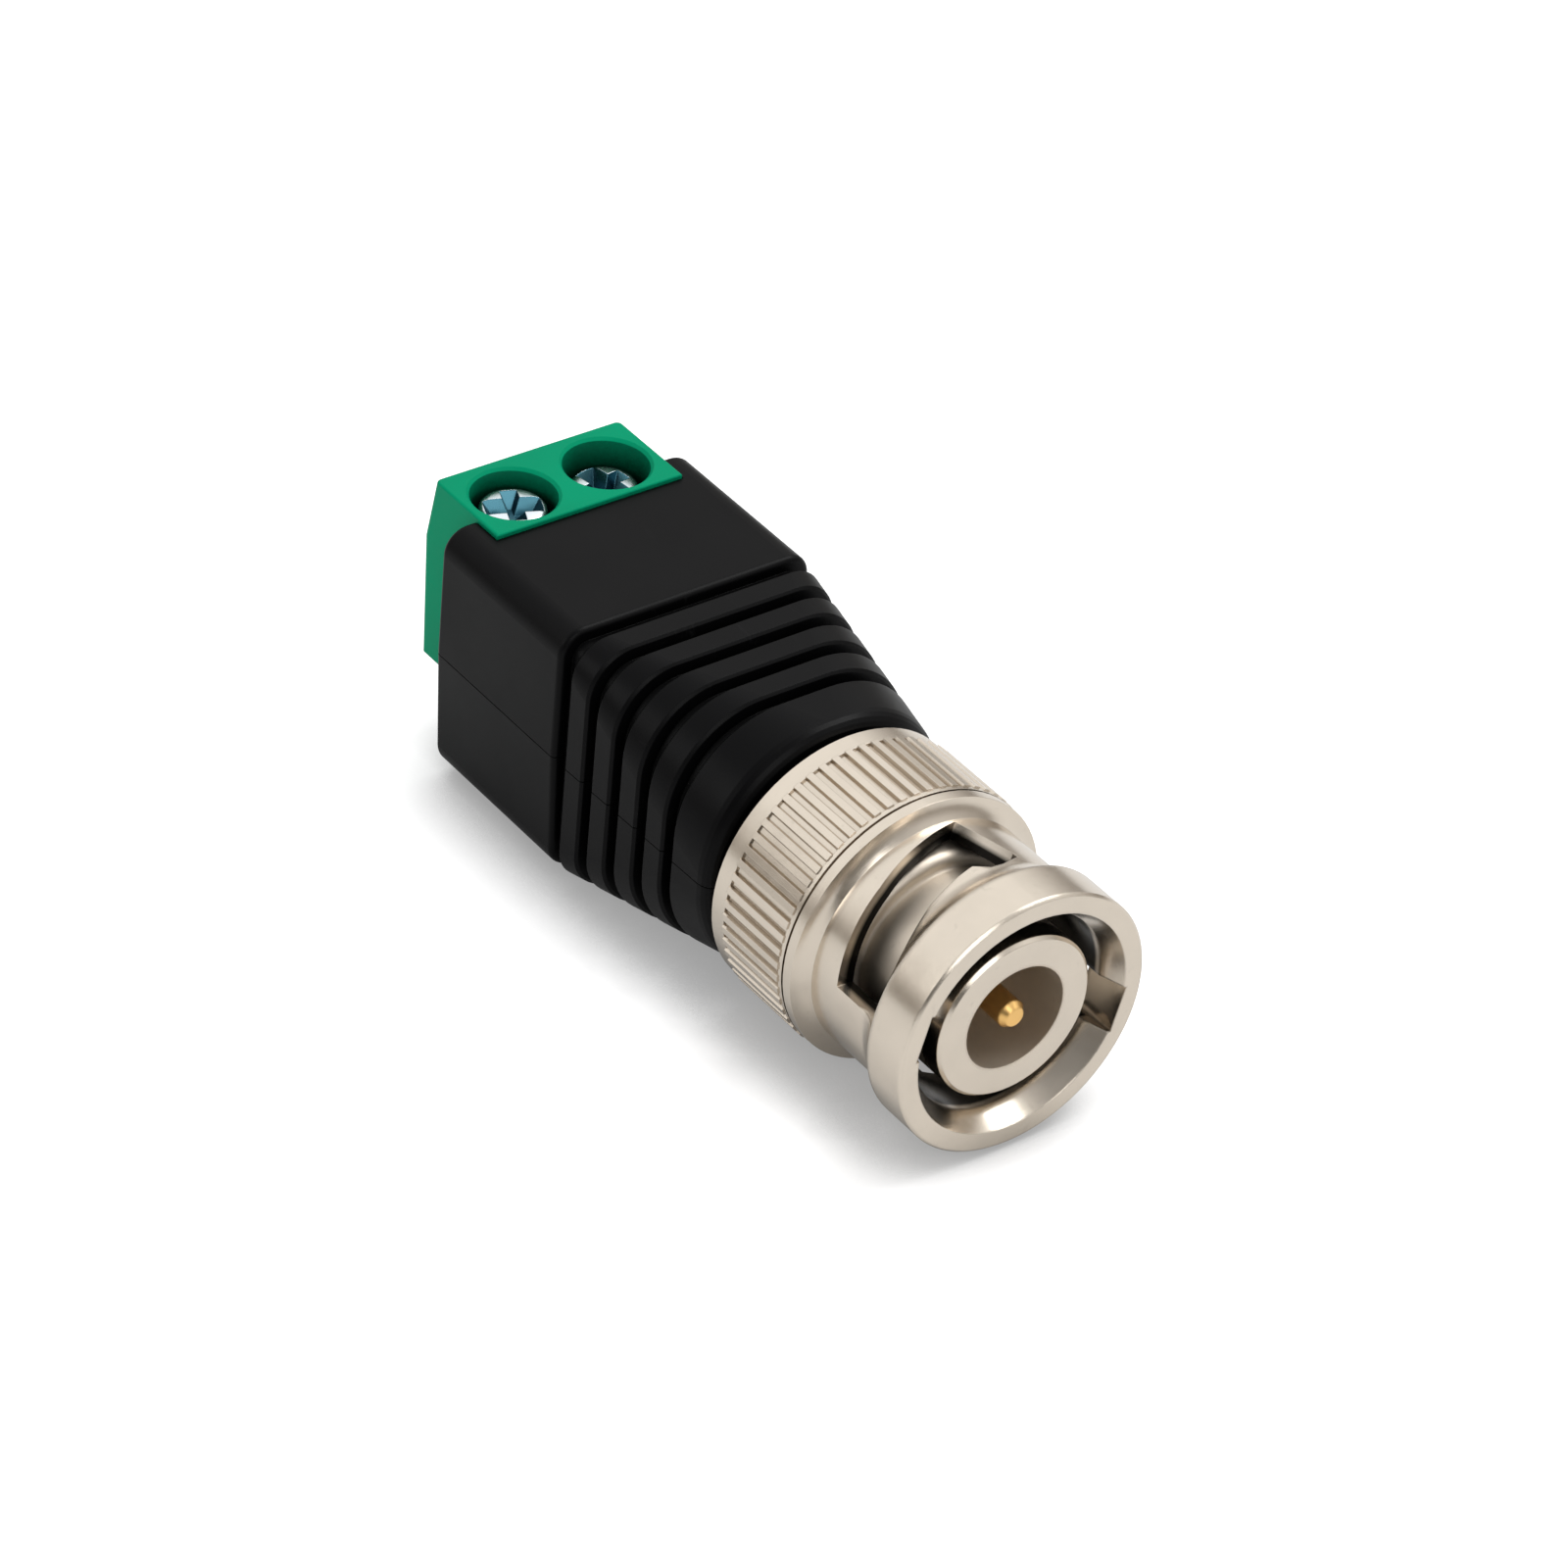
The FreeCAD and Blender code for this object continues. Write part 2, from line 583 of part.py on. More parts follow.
def tapered_section(x, inset):
    """The housing's section ahead of the box, set in by a depth: square there, round in front."""
    share = (x - BOX_FRONT) / (COLLAR_FRONT - BOX_FRONT)
    half_width = HOUSING_HALF_WIDTH + (COLLAR_RADIUS - HOUSING_HALF_WIDTH) * share
    half_height = HOUSING_HALF_HEIGHT + (COLLAR_RADIUS - HOUSING_HALF_HEIGHT) * share
    radius = RIB_CORNER + (COLLAR_CORNER - RIB_CORNER) * share
    return rounded_section(x, half_width - inset, half_height - inset, radius - inset)


def ribbed_nose():
    """Ribs and collar, from the box to the nut."""
    profile = [
        (0, 0), (GROOVE_EDGE, GROOVE_EDGE), (GROOVE_WALL, GROOVE_DEPTH),
        (GROOVE_WIDTH - GROOVE_WALL, GROOVE_DEPTH), (GROOVE_WIDTH - GROOVE_EDGE, GROOVE_EDGE),
        (GROOVE_WIDTH, 0),
    ]
    stations = []
    for k in range(GROOVE_COUNT):
        start = BOX_FRONT + k * RIB_PITCH
        stations += [(start + along, inset) for along, inset in profile]
    stations[:3] = [(BOX_FRONT, GROOVE_DEPTH)]
    for share in (1.0, 0.7, 0.45, 0.25, 0.1, 0.0):
        inset = COLLAR_ROUND * (1 - math.sqrt(1 - (1 - share) ** 2))
        stations.append((COLLAR_FRONT - share * COLLAR_ROUND, inset))
    return Part.makeLoft([tapered_section(x, inset) for x, inset in stations], True, True)


def housing_box():
    """The plain rear part, with a mould draft on its lower half and rounded long edges."""
    low = HOUSING_HALF_WIDTH - HOUSING_DRAFT
    points = [V(HOUSING_BACK, y, z) for y, z in (
        (HOUSING_HALF_WIDTH, SEAM_RISE), (HOUSING_HALF_WIDTH, HOUSING_TOP),
        (-HOUSING_HALF_WIDTH, HOUSING_TOP), (-HOUSING_HALF_WIDTH, SEAM_RISE),
        (-low, HOUSING_BOTTOM), (low, HOUSING_BOTTOM))]
    solid = Part.Face(Part.makePolygon(points + points[:1])).extrude(V(BOX_LENGTH, 0, 0))
    long_edges = [e for e in solid.Edges
                  if abs(e.BoundBox.XLength - BOX_LENGTH) < 1e-6
                  and abs(abs(e.CenterOfMass.z - HOUSING_RISE) - HOUSING_HALF_HEIGHT) < 1e-6]
    solid = solid.makeFillet(BOX_EDGE_ROUND, long_edges)
    end_edges = [e for e in solid.Edges if e.BoundBox.XLength < 1e-6]
    return solid.makeFillet(BOX_END_ROUND, end_edges)


def housing_cavity():
    """Everything taken out of the housing: block bay, board room, throat and shank bore."""
    lower_limit = BLOCK_BOTTOM - BLOCK_PLAY
    bay = box((HOUSING_BACK - PAST, -CAVITY_HALF_WIDTH, lower_limit),
              (BLOCK_FRONT + BLOCK_PLAY, CAVITY_HALF_WIDTH, HOUSING_TOP + PAST))
    room = box((HOUSING_BACK + REAR_WALL, -CAVITY_HALF_WIDTH, BOARD_BOTTOM - SEAT),
               (CAVITY_FRONT, CAVITY_HALF_WIDTH, CAVITY_TOP))
    cellar = box((HOUSING_BACK + REAR_WALL, LEDGE - CAVITY_HALF_WIDTH, CAVITY_FLOOR),
                 (CAVITY_FRONT, CAVITY_HALF_WIDTH - LEDGE, BOARD_BOTTOM))
    hook_room = box((HOUSING_BACK + REAR_WALL, -CAVITY_HALF_WIDTH,
                     BLOCK_BOTTOM - BLOCK_HOOK_DROP - BLOCK_PLAY),
                    (BLOCK_FRONT + BLOCK_PLAY, CAVITY_HALF_WIDTH, 0))
    throat = rod(THROAT_RADIUS, (CAVITY_FRONT - PAST, 0, 0), (THROAT_FRONT, 0, 0))
    groove_back = SHANK_BACK + SHANK_GROOVE_BACK
    groove_front = groove_back + SHANK_GROOVE_WIDTH
    bore = rod(SHANK_RADIUS + SHANK_PLAY, (THROAT_FRONT - PAST, 0, 0), (COLLAR_FRONT + PAST, 0, 0))
    key = ring(SHANK_GROOVE_RADIUS + SHANK_PLAY, SHANK_RADIUS + 2 * SHANK_PLAY,
               groove_back + SHANK_PLAY, groove_front - SHANK_PLAY)
    cavity = bay.fuse([room, cellar, hook_room, throat, bore])
    return cavity.cut(key)


def pegs(radius, top, bottom):
    """Upright pins in the seam, two in the collar and two in the side walls."""
    wall_y = (CAVITY_HALF_WIDTH + HOUSING_HALF_WIDTH) / 2
    collar_y = (SHANK_RADIUS + COLLAR_RADIUS - GROOVE_DEPTH) / 2
    places = [(COLLAR_FRONT - COLLAR_PEG_BACK, collar_y, COLLAR_PEG_RADIUS),
              (COLLAR_FRONT - WALL_PEG_BACK, wall_y, WALL_PEG_RADIUS)]
    return [rod(size + radius, (x, side * y, bottom), (x, side * y, top))
            for x, y, size in places for side in (-1, 1)]


def housing_halves():
    """The two shells, split at the seam."""
    whole = housing_box().fuse(ribbed_nose()).cut(housing_cavity())
    reach = 2 * HOUSING_LENGTH
    above = box((-3 * reach, -reach, SEAM_RISE + SEAM / 2), (reach, reach, reach))
    below = box((-3 * reach, -reach, -reach), (reach, reach, SEAM_RISE - SEAM / 2))
    peg_top = SEAM_RISE + PEG_HEIGHT
    upper = whole.common(above).cut(pegs(PEG_PLAY, peg_top + PEG_PLAY, SEAM_RISE - PAST))
    lower = whole.common(below).fuse(pegs(0, peg_top, SEAM_RISE - SEAM))
    return upper.removeSplitter(), lower.removeSplitter()


def terminal_block():
    """Green moulding with two screw wells, two wire entries and a hook over the rear wall."""
    rear_top = BLOCK_FRONT - BLOCK_TOP_LENGTH
    hook_back = BLOCK_FRONT - BLOCK_HOOK_LENGTH
    half = BLOCK_WIDTH / 2
    profile = [
        (BLOCK_FRONT, BLOCK_TOP), (rear_top, BLOCK_TOP),
        (rear_top - BLOCK_BELLY, BLOCK_BELLY_Z), (rear_top - BLOCK_HEEL, BLOCK_BOTTOM),
        (hook_back, BLOCK_BOTTOM), (hook_back, BLOCK_BOTTOM - BLOCK_HOOK_DROP),
        (BLOCK_FRONT, BLOCK_BOTTOM - BLOCK_HOOK_DROP),
    ]
    points = [V(x, -half, z) for x, z in profile]
    block = Part.Face(Part.makePolygon(points + points[:1])).extrude(V(0, BLOCK_WIDTH, 0))
    upright = [e for e in block.Edges
               if e.BoundBox.YLength < 1e-6 and e.BoundBox.ZLength > BLOCK_TOP - BLOCK_BELLY_Z - 1e-6
               and e.CenterOfMass.x < (rear_top + hook_back) / 2]
    block = block.makeFillet(BLOCK_CORNER, upright)
    top_edges = [e for e in block.Edges
                 if abs(e.CenterOfMass.z - BLOCK_TOP) < 1e-6 and e.BoundBox.ZLength < 1e-6]
    block = block.makeFillet(BLOCK_EDGE, top_edges)
    cutters = []
    for y in (LEFT_Y, RIGHT_Y):
        cutters += pole_cutters(y, rear_top)
    return block.cut(cutters)


def pole_cutters(y, rear_top):
    """Well, bevelled rim, chamber open in front for its frame, and wire entry of one pole."""
    chamber = FRAME_WIDTH / 2 + SEAT
    back = SCREW_X - FRAME_LENGTH / 2 - SEAT
    rear = rear_top - BLOCK_BELLY
    well = rod(WELL_RADIUS, (SCREW_X, y, FRAME_TOP), (SCREW_X, y, BLOCK_TOP + PAST))
    rim = Part.makeCone(WELL_RADIUS, WELL_RADIUS + WELL_BEVEL + PAST, WELL_BEVEL + PAST,
                        V(SCREW_X, y, BLOCK_TOP - WELL_BEVEL), Z_AXIS)
    room = box((back, y - chamber, FRAME_BOTTOM - SEAT),
               (BLOCK_FRONT + PAST, y + chamber, FRAME_TOP + SEAT))
    half = WIRE_WIDTH / 2
    entry = box((rear - PAST, y - half, FLOOR_TOP), (back + PAST, y + half, WIRE_TOP))
    funnel_mouth = half + WIRE_FUNNEL
    sections = []
    for x, grow in ((rear - SEAT, WIRE_FUNNEL), (rear + 2 * WIRE_FUNNEL, 0)):
        ys = (y - half - grow, y + half + grow)
        zs = (FLOOR_TOP - grow, WIRE_TOP + grow)
        loop = [V(x, ys[0], zs[0]), V(x, ys[1], zs[0]), V(x, ys[1], zs[1]), V(x, ys[0], zs[1])]
        sections.append(Part.makePolygon(loop + loop[:1]))
    funnel = Part.makeLoft(sections, True, True)
    return [well, rim, room, entry, funnel]


def contact_frame(y):
    """Folded frame round one wire: threaded roof, floor, sides and a solder pin in front."""
    front = SCREW_X + FRAME_LENGTH / 2
    back = SCREW_X - FRAME_LENGTH / 2
    half = FRAME_WIDTH / 2
    frame = box((back, y - half, FRAME_BOTTOM), (front, y + half, FRAME_TOP))
    frame = frame.makeFillet(FRAME_EDGE, [e for e in frame.Edges
                                          if abs(e.BoundBox.XLength - FRAME_LENGTH) < 1e-6])
    window = box((back - PAST, y - half + FRAME_SIDE, FLOOR_TOP),
                 (front + PAST, y + half - FRAME_SIDE, ROOF_BOTTOM))
    thread = rod(SCREW_RADIUS + THREAD_PLAY, (SCREW_X, y, 0), (SCREW_X, y, FRAME_TOP + PAST))
    pin = box((front - PAST, y - SOLDER_PIN_WIDTH / 2, FRAME_BOTTOM),
              (BLOCK_FRONT + SOLDER_PIN_REACH, y + SOLDER_PIN_WIDTH / 2, FLOOR_TOP))
    return frame.cut([window, thread]).fuse(pin).removeSplitter()


def terminal_screw(y, head_top, slot_angle):
    """Pan-head screw with a long slot crossed by a short one and a pit in the middle."""
    under = head_top - HEAD_HEIGHT
    tip = under - SCREW_SHANK
    round_centre = (HEAD_RADIUS - HEAD_ROUND, head_top - HEAD_ROUND)
    screw = turned_upright((0, tip), [
        (SCREW_RADIUS - 0.2, tip),
        (SCREW_RADIUS, tip + 0.2),
        (SCREW_RADIUS, under),
        (HEAD_RADIUS, under),
        (HEAD_RADIUS, head_top - HEAD_ROUND),
        corner(round_centre, HEAD_ROUND, 45, 90),
        (0, head_top),
    ], SCREW_X, y)
    slot_z = head_top - SLOT_DEPTH
    cutters = []
    for turn in (0, 90):
        slot = box((-SLOT_LENGTH / 2, -SLOT_WIDTH / 2, slot_z),
                   (SLOT_LENGTH / 2, SLOT_WIDTH / 2, head_top + PAST))
        slot.rotate(V(0, 0, 0), Z_AXIS, slot_angle + turn)
        slot.translate(V(SCREW_X, y, 0))
        cutters.append(slot)
    cutters.append(Part.makeCone(RECESS_RADIUS / 2, RECESS_RADIUS, RECESS_DEPTH,
                                 V(SCREW_X, y, head_top - RECESS_DEPTH), Z_AXIS))
    return screw.cut(cutters)


def pressure_plate(y, head_top):
    """Plate under the screw's tip that presses on the wire, with its front end turned down."""
    top = head_top - HEAD_HEIGHT - SCREW_SHANK - SEAT
    half = FRAME_WIDTH / 2 - FRAME_SIDE - PLATE_PLAY
    plate = box((SCREW_X - PLATE_LENGTH / 2, y - half, top - PLATE_THICKNESS),
                (SCREW_X + PLATE_LENGTH / 2, y + half, top))
    lip = box((SCREW_X + PLATE_LENGTH / 2 - PLATE_THICKNESS, y - half,
               top - PLATE_THICKNESS - PLATE_LIP),
              (SCREW_X + PLATE_LENGTH / 2, y + half, top))
    return plate.fuse(lip).removeSplitter()


def circuit_board():
    """Small board on the ledges of the lower shell."""
    half = CAVITY_HALF_WIDTH - BOARD_PLAY
    return box((BOARD_BACK, -half, BOARD_BOTTOM), (BOARD_FRONT, half, BOARD_TOP))


def ferrite_core():
    """Drum core that stands on the board."""
    low = BOARD_TOP + SEAT
    high = low + CORE_HEIGHT
    return turned_upright((0, low), [
        (CORE_RADIUS, low), (CORE_RADIUS, low + CORE_FLANGE),
        (CORE_HUB, low + CORE_FLANGE), (CORE_HUB, high - CORE_FLANGE),
        (CORE_RADIUS, high - CORE_FLANGE), (CORE_RADIUS, high), (0, high),
    ], CORE_X, 0)


def copper_winding():
    """The drum's winding, with the ridges of its outer turns."""
    low = BOARD_TOP + SEAT + CORE_FLANGE + SEAT
    high = BOARD_TOP + SEAT + CORE_HEIGHT - CORE_FLANGE - SEAT
    pitch = (high - low) / TURN_COUNT
    base = WINDING_RADIUS - pitch / 2
    steps = [(base, low)]
    for turn in range(TURN_COUNT):
        middle = low + (turn + 0.5) * pitch
        steps += [(base + pitch / 2, middle), (base, middle + pitch / 2)]
    steps.append((CORE_HUB + SEAT, high))
    return turned_upright((CORE_HUB + SEAT, low), steps, CORE_X, 0)


def centre_lead():
    """Lead from the pin's solder cup down to the board, bent in two round turns."""
    start = SHANK_BACK + INSULATOR_SHORT - SEAT - PIN_CUP_LENGTH + PIN_CUP_DEPTH - SEAT
    end = BOARD_FRONT - LEAD_REACH
    knee = start - PIN_CUP_DEPTH - LEAD_BEND
    foot = BOARD_FRONT + LEAD_RADIUS
    route = [V(start, 0, 0), V(knee, 0, 0), V(foot, 0, LEAD_Z), V(end, 0, LEAD_Z)]
    return bent_tube(route, LEAD_RADIUS, LEAD_BEND / 2)


def bent_tube(route, radius, bend_length):
    """A round tube along straight runs joined by tangent arcs."""
    edges = []
    here = route[0]
    for before, at, after in zip(route, route[1:], route[2:]):
        into = (at - before).normalize()
        out = (after - at).normalize()
        half_turn = into.getAngle(out) / 2
        start = at - into * bend_length
        end = at + out * bend_length
        bisector = (out - into).normalize()
        bend_radius = bend_length / math.tan(half_turn)
        centre = at + bisector * (bend_radius / math.cos(half_turn))
        middle = centre - bisector * bend_radius
        edges.append(Part.LineSegment(here, start).toShape())
        edges.append(Part.Arc(start, middle, end).toShape())
        here = end
    edges.append(Part.LineSegment(here, route[-1]).toShape())
    path = Part.Wire(edges)
    across = Part.Wire(Part.makeCircle(radius, route[0], route[1] - route[0]))
    return path.makePipeShell([across], True, True)


def ground_lead():
    """Straight lead from the shank's rear face to the board."""
    y = math.sqrt(GROUND_LEAD_RADIUS ** 2 - LEAD_Z ** 2)
    return rod(LEAD_RADIUS, (BOARD_FRONT - LEAD_REACH, y, LEAD_Z), (SHANK_BACK - SEAT, y, LEAD_Z))


def solder_joints(parts_held):
    """Cones of solder on the board, round the leads and the solder pins."""
    ground_y = math.sqrt(GROUND_LEAD_RADIUS ** 2 - LEAD_Z ** 2)
    lead_x = BOARD_FRONT - LEAD_REACH / 2 - LEAD_RADIUS
    pin_x = BLOCK_FRONT + SOLDER_PIN_REACH - LEAD_REACH
    cones = []
    for x, y in ((lead_x, 0), (lead_x, ground_y), (pin_x, LEFT_Y), (pin_x, RIGHT_Y)):
        cone = Part.makeCone(SOLDER_BASE, SOLDER_TOP, SOLDER_HEIGHT,
                             V(x, y, BOARD_TOP + SEAT), Z_AXIS)
        cones.append(cone.cut(parts_held))
    return Part.makeCompound(cones)


def main():
    upper, lower = housing_halves()
    frames = {side: contact_frame(y) for side, y in (("left", LEFT_Y), ("right", RIGHT_Y))}
    leads = [centre_lead(), ground_lead()]
    shapes = {
        "upper_shell": upper,
        "lower_shell": lower,
        "terminal_block": terminal_block(),
        "contact_frame_left": frames["left"],
        "contact_frame_right": frames["right"],
        "terminal_screw_left": terminal_screw(LEFT_Y, LEFT_HEAD_TOP, LEFT_SLOT_ANGLE),
        "terminal_screw_right": terminal_screw(RIGHT_Y, RIGHT_HEAD_TOP, RIGHT_SLOT_ANGLE),
        "pressure_plate_left": pressure_plate(LEFT_Y, LEFT_HEAD_TOP),
        "pressure_plate_right": pressure_plate(RIGHT_Y, RIGHT_HEAD_TOP),
        "circuit_board": circuit_board(),
        "ferrite_core": ferrite_core(),
        "copper_winding": copper_winding(),
        "centre_lead": leads[0],
        "ground_lead": leads[1],
        "solder_joints": solder_joints(leads + list(frames.values())),
        "plug_body": plug_body(),
        "insulator": insulator(),
        "centre_pin": centre_pin(),
        "coupling_nut": coupling_nut(),
        "wave_spring": wave_spring(),
        "thrust_washer": thrust_washer(),
        "retaining_bush": retaining_bush(),
    }
    os.makedirs("parts", exist_ok=True)
    for name, shape in shapes.items():
        solids = shape.Solids
        if not shape.isValid() or not solids:
            raise RuntimeError(name + " is not a valid solid")
        kept = solids[0] if len(solids) == 1 else Part.makeCompound(solids)
        kept.exportStep("parts/" + name + ".step")
        print(name, len(solids), round(sum(s.Volume for s in solids), 2), len(shape.Faces))


if __name__ == "__main__":
    main()
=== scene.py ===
"""Studio scene of a plug-in video balun, built on the packed model."""

import math

import bmesh
import bpy
from mathutils import Matrix, Vector


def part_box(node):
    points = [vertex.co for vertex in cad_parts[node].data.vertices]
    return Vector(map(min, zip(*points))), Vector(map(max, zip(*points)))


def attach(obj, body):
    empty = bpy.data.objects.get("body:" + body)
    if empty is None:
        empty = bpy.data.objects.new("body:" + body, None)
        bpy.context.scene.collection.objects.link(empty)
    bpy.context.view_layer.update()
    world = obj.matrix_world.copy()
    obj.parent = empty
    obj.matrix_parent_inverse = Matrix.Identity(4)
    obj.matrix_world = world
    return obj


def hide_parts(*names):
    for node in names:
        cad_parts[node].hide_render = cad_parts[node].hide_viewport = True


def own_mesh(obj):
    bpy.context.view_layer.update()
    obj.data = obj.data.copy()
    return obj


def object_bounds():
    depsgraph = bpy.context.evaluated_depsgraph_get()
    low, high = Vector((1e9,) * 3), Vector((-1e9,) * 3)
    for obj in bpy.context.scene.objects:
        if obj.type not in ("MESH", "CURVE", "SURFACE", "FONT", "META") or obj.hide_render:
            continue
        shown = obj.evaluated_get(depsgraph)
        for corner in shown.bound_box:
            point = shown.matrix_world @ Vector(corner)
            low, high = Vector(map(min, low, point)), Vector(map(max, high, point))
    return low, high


bl_info = {
    "name": "Video balun studio",
    "version": (1, 0, 0),
    "blender": (4, 5, 0),
    "location": "3D View > Sidebar > Balun",
    "description": "Dresses the video balun's solids and sets its studio",
    "category": "Object",
}

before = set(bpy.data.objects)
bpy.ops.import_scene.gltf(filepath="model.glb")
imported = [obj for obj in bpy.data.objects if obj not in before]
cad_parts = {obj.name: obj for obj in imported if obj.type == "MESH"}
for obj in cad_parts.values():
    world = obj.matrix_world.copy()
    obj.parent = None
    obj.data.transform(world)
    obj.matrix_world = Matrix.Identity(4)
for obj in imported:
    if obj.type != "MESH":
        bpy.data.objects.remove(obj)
cad_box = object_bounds()
MM = 0.001
ROOT = "plug_and_housing"
BLACK = (0.0, 0.0, 0.0)
WHITE = (1.0, 1.0, 1.0)
SHADE_SAMPLES = 4        # rays of each material's edge and nook shading
FLOOR_SAMPLES = 8        # rays of the floor's contact shade
FLOOR_HALF = 3.0         # half the floor's side, in metres


# Shader groups and small node helpers

def link_in(tree, socket, value):
    """Sets a socket to a number or colour, or links an output to it."""
    if isinstance(value, bpy.types.NodeSocket):
        tree.links.new(value, socket)
    elif isinstance(value, (tuple, list)) and len(value) == 3 and socket.type == "RGBA":
        socket.default_value = (*value, 1.0)
    else:
        socket.default_value = value


def add_node(tree, kind, settings=None, **inputs):
    """A node with its properties and inputs set. Inputs are named as on the node."""
    node = tree.nodes.new(kind)
    for key, value in (settings or {}).items():
        setattr(node, key, value)
    for key, value in inputs.items():
        link_in(tree, node.inputs[key.replace("_", " ")], value)
    return node


def maths(tree, operation, a, b=0.0):
    """A Math node's output."""
    node = tree.nodes.new("ShaderNodeMath")
    node.operation = operation
    link_in(tree, node.inputs[0], a)
    link_in(tree, node.inputs[1], b)
    return node.outputs[0]


def mix_colour(tree, factor, a, b):
    """A colour between a and b."""
    node = tree.nodes.new("ShaderNodeMix")
    node.data_type = "RGBA"
    link_in(tree, node.inputs[0], factor)
    link_in(tree, node.inputs[6], a)
    link_in(tree, node.inputs[7], b)
    return node.outputs[2]


def ramp(tree, value, low, high, to_low=0.0, to_high=1.0):
    """A value taken from one range to another and clamped."""
    node = add_node(tree, "ShaderNodeMapRange", {"clamp": True}, Value=value)
    for key, number in (("From Min", low), ("From Max", high),
                        ("To Min", to_low), ("To Max", to_high)):
        node.inputs[key].default_value = number
    return node.outputs["Result"]


def noise(tree, place, scale, detail=3.0, rough=0.5):
    """A noise pattern's value at a place."""
    node = add_node(tree, "ShaderNodeTexNoise", None, Vector=place, Scale=scale, Detail=detail,
                    Roughness=rough)
    return node.outputs["Fac"]


def axis_place(tree):
    """The place along the object's X axis, and the radius from it."""
    place = add_node(tree, "ShaderNodeTexCoord").outputs["Object"]
    split = add_node(tree, "ShaderNodeSeparateXYZ", None, Vector=place)
    y, z = split.outputs["Y"], split.outputs["Z"]
    return split.outputs["X"], maths(tree, "SQRT", maths(
        tree, "ADD", maths(tree, "MULTIPLY", y, y), maths(tree, "MULTIPLY", z, z)))


def new_group(name, inputs, outputs):
    """An empty shader node group with named sockets, its input node and its output node."""
    tree = bpy.data.node_groups.new(name, "ShaderNodeTree")
    for label, kind, default in inputs:
        socket = tree.interface.new_socket(name=label, in_out="INPUT", socket_type=kind)
        socket.default_value = default
    for label, kind in outputs:
        tree.interface.new_socket(name=label, in_out="OUTPUT", socket_type=kind)
    return tree, tree.nodes.new("NodeGroupInput"), tree.nodes.new("NodeGroupOutput")


def moulded_grain_group():
    """Spark-eroded mould texture with faint flow clouds, for the plastics."""
    tree, given, result = new_group(
        "Moulded grain",
        [("Grain Size", "NodeSocketFloat", 0.08), ("Cloud Size", "NodeSocketFloat", 4.0)],
        [("Height", "NodeSocketFloat"), ("Clouds", "NodeSocketFloat"),
         ("Scuffs", "NodeSocketFloat")])
    place = add_node(tree, "ShaderNodeTexCoord").outputs["Object"]
    fine = noise(tree, place, maths(tree, "DIVIDE", 1000.0, given.outputs["Grain Size"]), 2.0, 0.6)
    clouds = noise(tree, place, maths(tree, "DIVIDE", 1000.0, given.outputs["Cloud Size"]), 3.0)
    stretch = add_node(tree, "ShaderNodeMapping", None, Vector=place)
    stretch.inputs["Scale"].default_value = (0.35, 2.2, 1.4)
    stretch.inputs["Rotation"].default_value = (0.3, 0.5, 0.4)
    lines = noise(tree, stretch.outputs["Vector"], 900.0, 4.0, 0.65)
    scuffs = maths(tree, "MULTIPLY", ramp(tree, lines, 0.60, 0.70), ramp(tree, clouds, 0.48, 0.66))
    tree.links.new(fine, result.inputs["Height"])
    tree.links.new(clouds, result.inputs["Clouds"])
    tree.links.new(scuffs, result.inputs["Scuffs"])
    return tree


def turned_plate_group():
    """Lathe rings under plating, with soft blotches and pin spots, round the object's X axis."""
    tree, given, result = new_group(
        "Turned plate",
        [("Ring Pitch", "NodeSocketFloat", 0.06), ("Blotch Size", "NodeSocketFloat", 2.0)],
        [("Height", "NodeSocketFloat"), ("Blotches", "NodeSocketFloat"),
         ("Spots", "NodeSocketFloat")])
    place = add_node(tree, "ShaderNodeTexCoord").outputs["Object"]
    x, radius = axis_place(tree)
    across = add_node(tree, "ShaderNodeCombineXYZ", None, X=x, Y=radius)
    rings = noise(tree, across.outputs["Vector"],
                  maths(tree, "DIVIDE", 1000.0, given.outputs["Ring Pitch"]), 2.0, 0.7)
    blotches = noise(tree, place, maths(tree, "DIVIDE", 1000.0, given.outputs["Blotch Size"]),
                     4.0, 0.6)
    specks = noise(tree, place, 2600.0, 2.0, 0.5)
    tree.links.new(rings, result.inputs["Height"])
    tree.links.new(blotches, result.inputs["Blotches"])
    tree.links.new(ramp(tree, specks, 0.66, 0.74), result.inputs["Spots"])
    return tree


GROUPS = {}


def group_node(tree, builder, **inputs):
    """A shared group, built once, placed in a material with this material's own values."""
    if builder.__name__ not in GROUPS:
        GROUPS[builder.__name__] = builder()
    node = tree.nodes.new("ShaderNodeGroup")
    node.node_tree = GROUPS[builder.__name__]
    for key, value in inputs.items():
        link_in(tree, node.inputs[key.replace("_", " ")], value)
    return node


def new_material(name):
    """A node material, its tree and its Principled shader."""
    material = bpy.data.materials.new(name)
    material.use_nodes = True
    tree = material.node_tree
    return material, tree, tree.nodes["Principled BSDF"]


def bump(tree, shader, height, strength, distance_mm, edge):
    """Bump from a height, in millimetres of depth, over edges rounded by a radius in metres."""
    edges = add_node(tree, "ShaderNodeBevel", {"samples": SHADE_SAMPLES}, Radius=edge)
    node = add_node(tree, "ShaderNodeBump", None, Height=height, Strength=strength,
                    Normal=edges.outputs["Normal"])
    node.inputs["Distance"].default_value = distance_mm * MM
    tree.links.new(node.outputs["Normal"], shader.inputs["Normal"])


def nook_shade(tree, reach_mm, shut_at, open_at, floor):
    """1 in the open, down to a floor deep in slots and holes no wider than the reach."""
    sky = add_node(tree, "ShaderNodeAmbientOcclusion", {"samples": SHADE_SAMPLES},
                   Distance=reach_mm * MM)
    return ramp(tree, sky.outputs["AO"], shut_at, open_at, floor, 1.0)


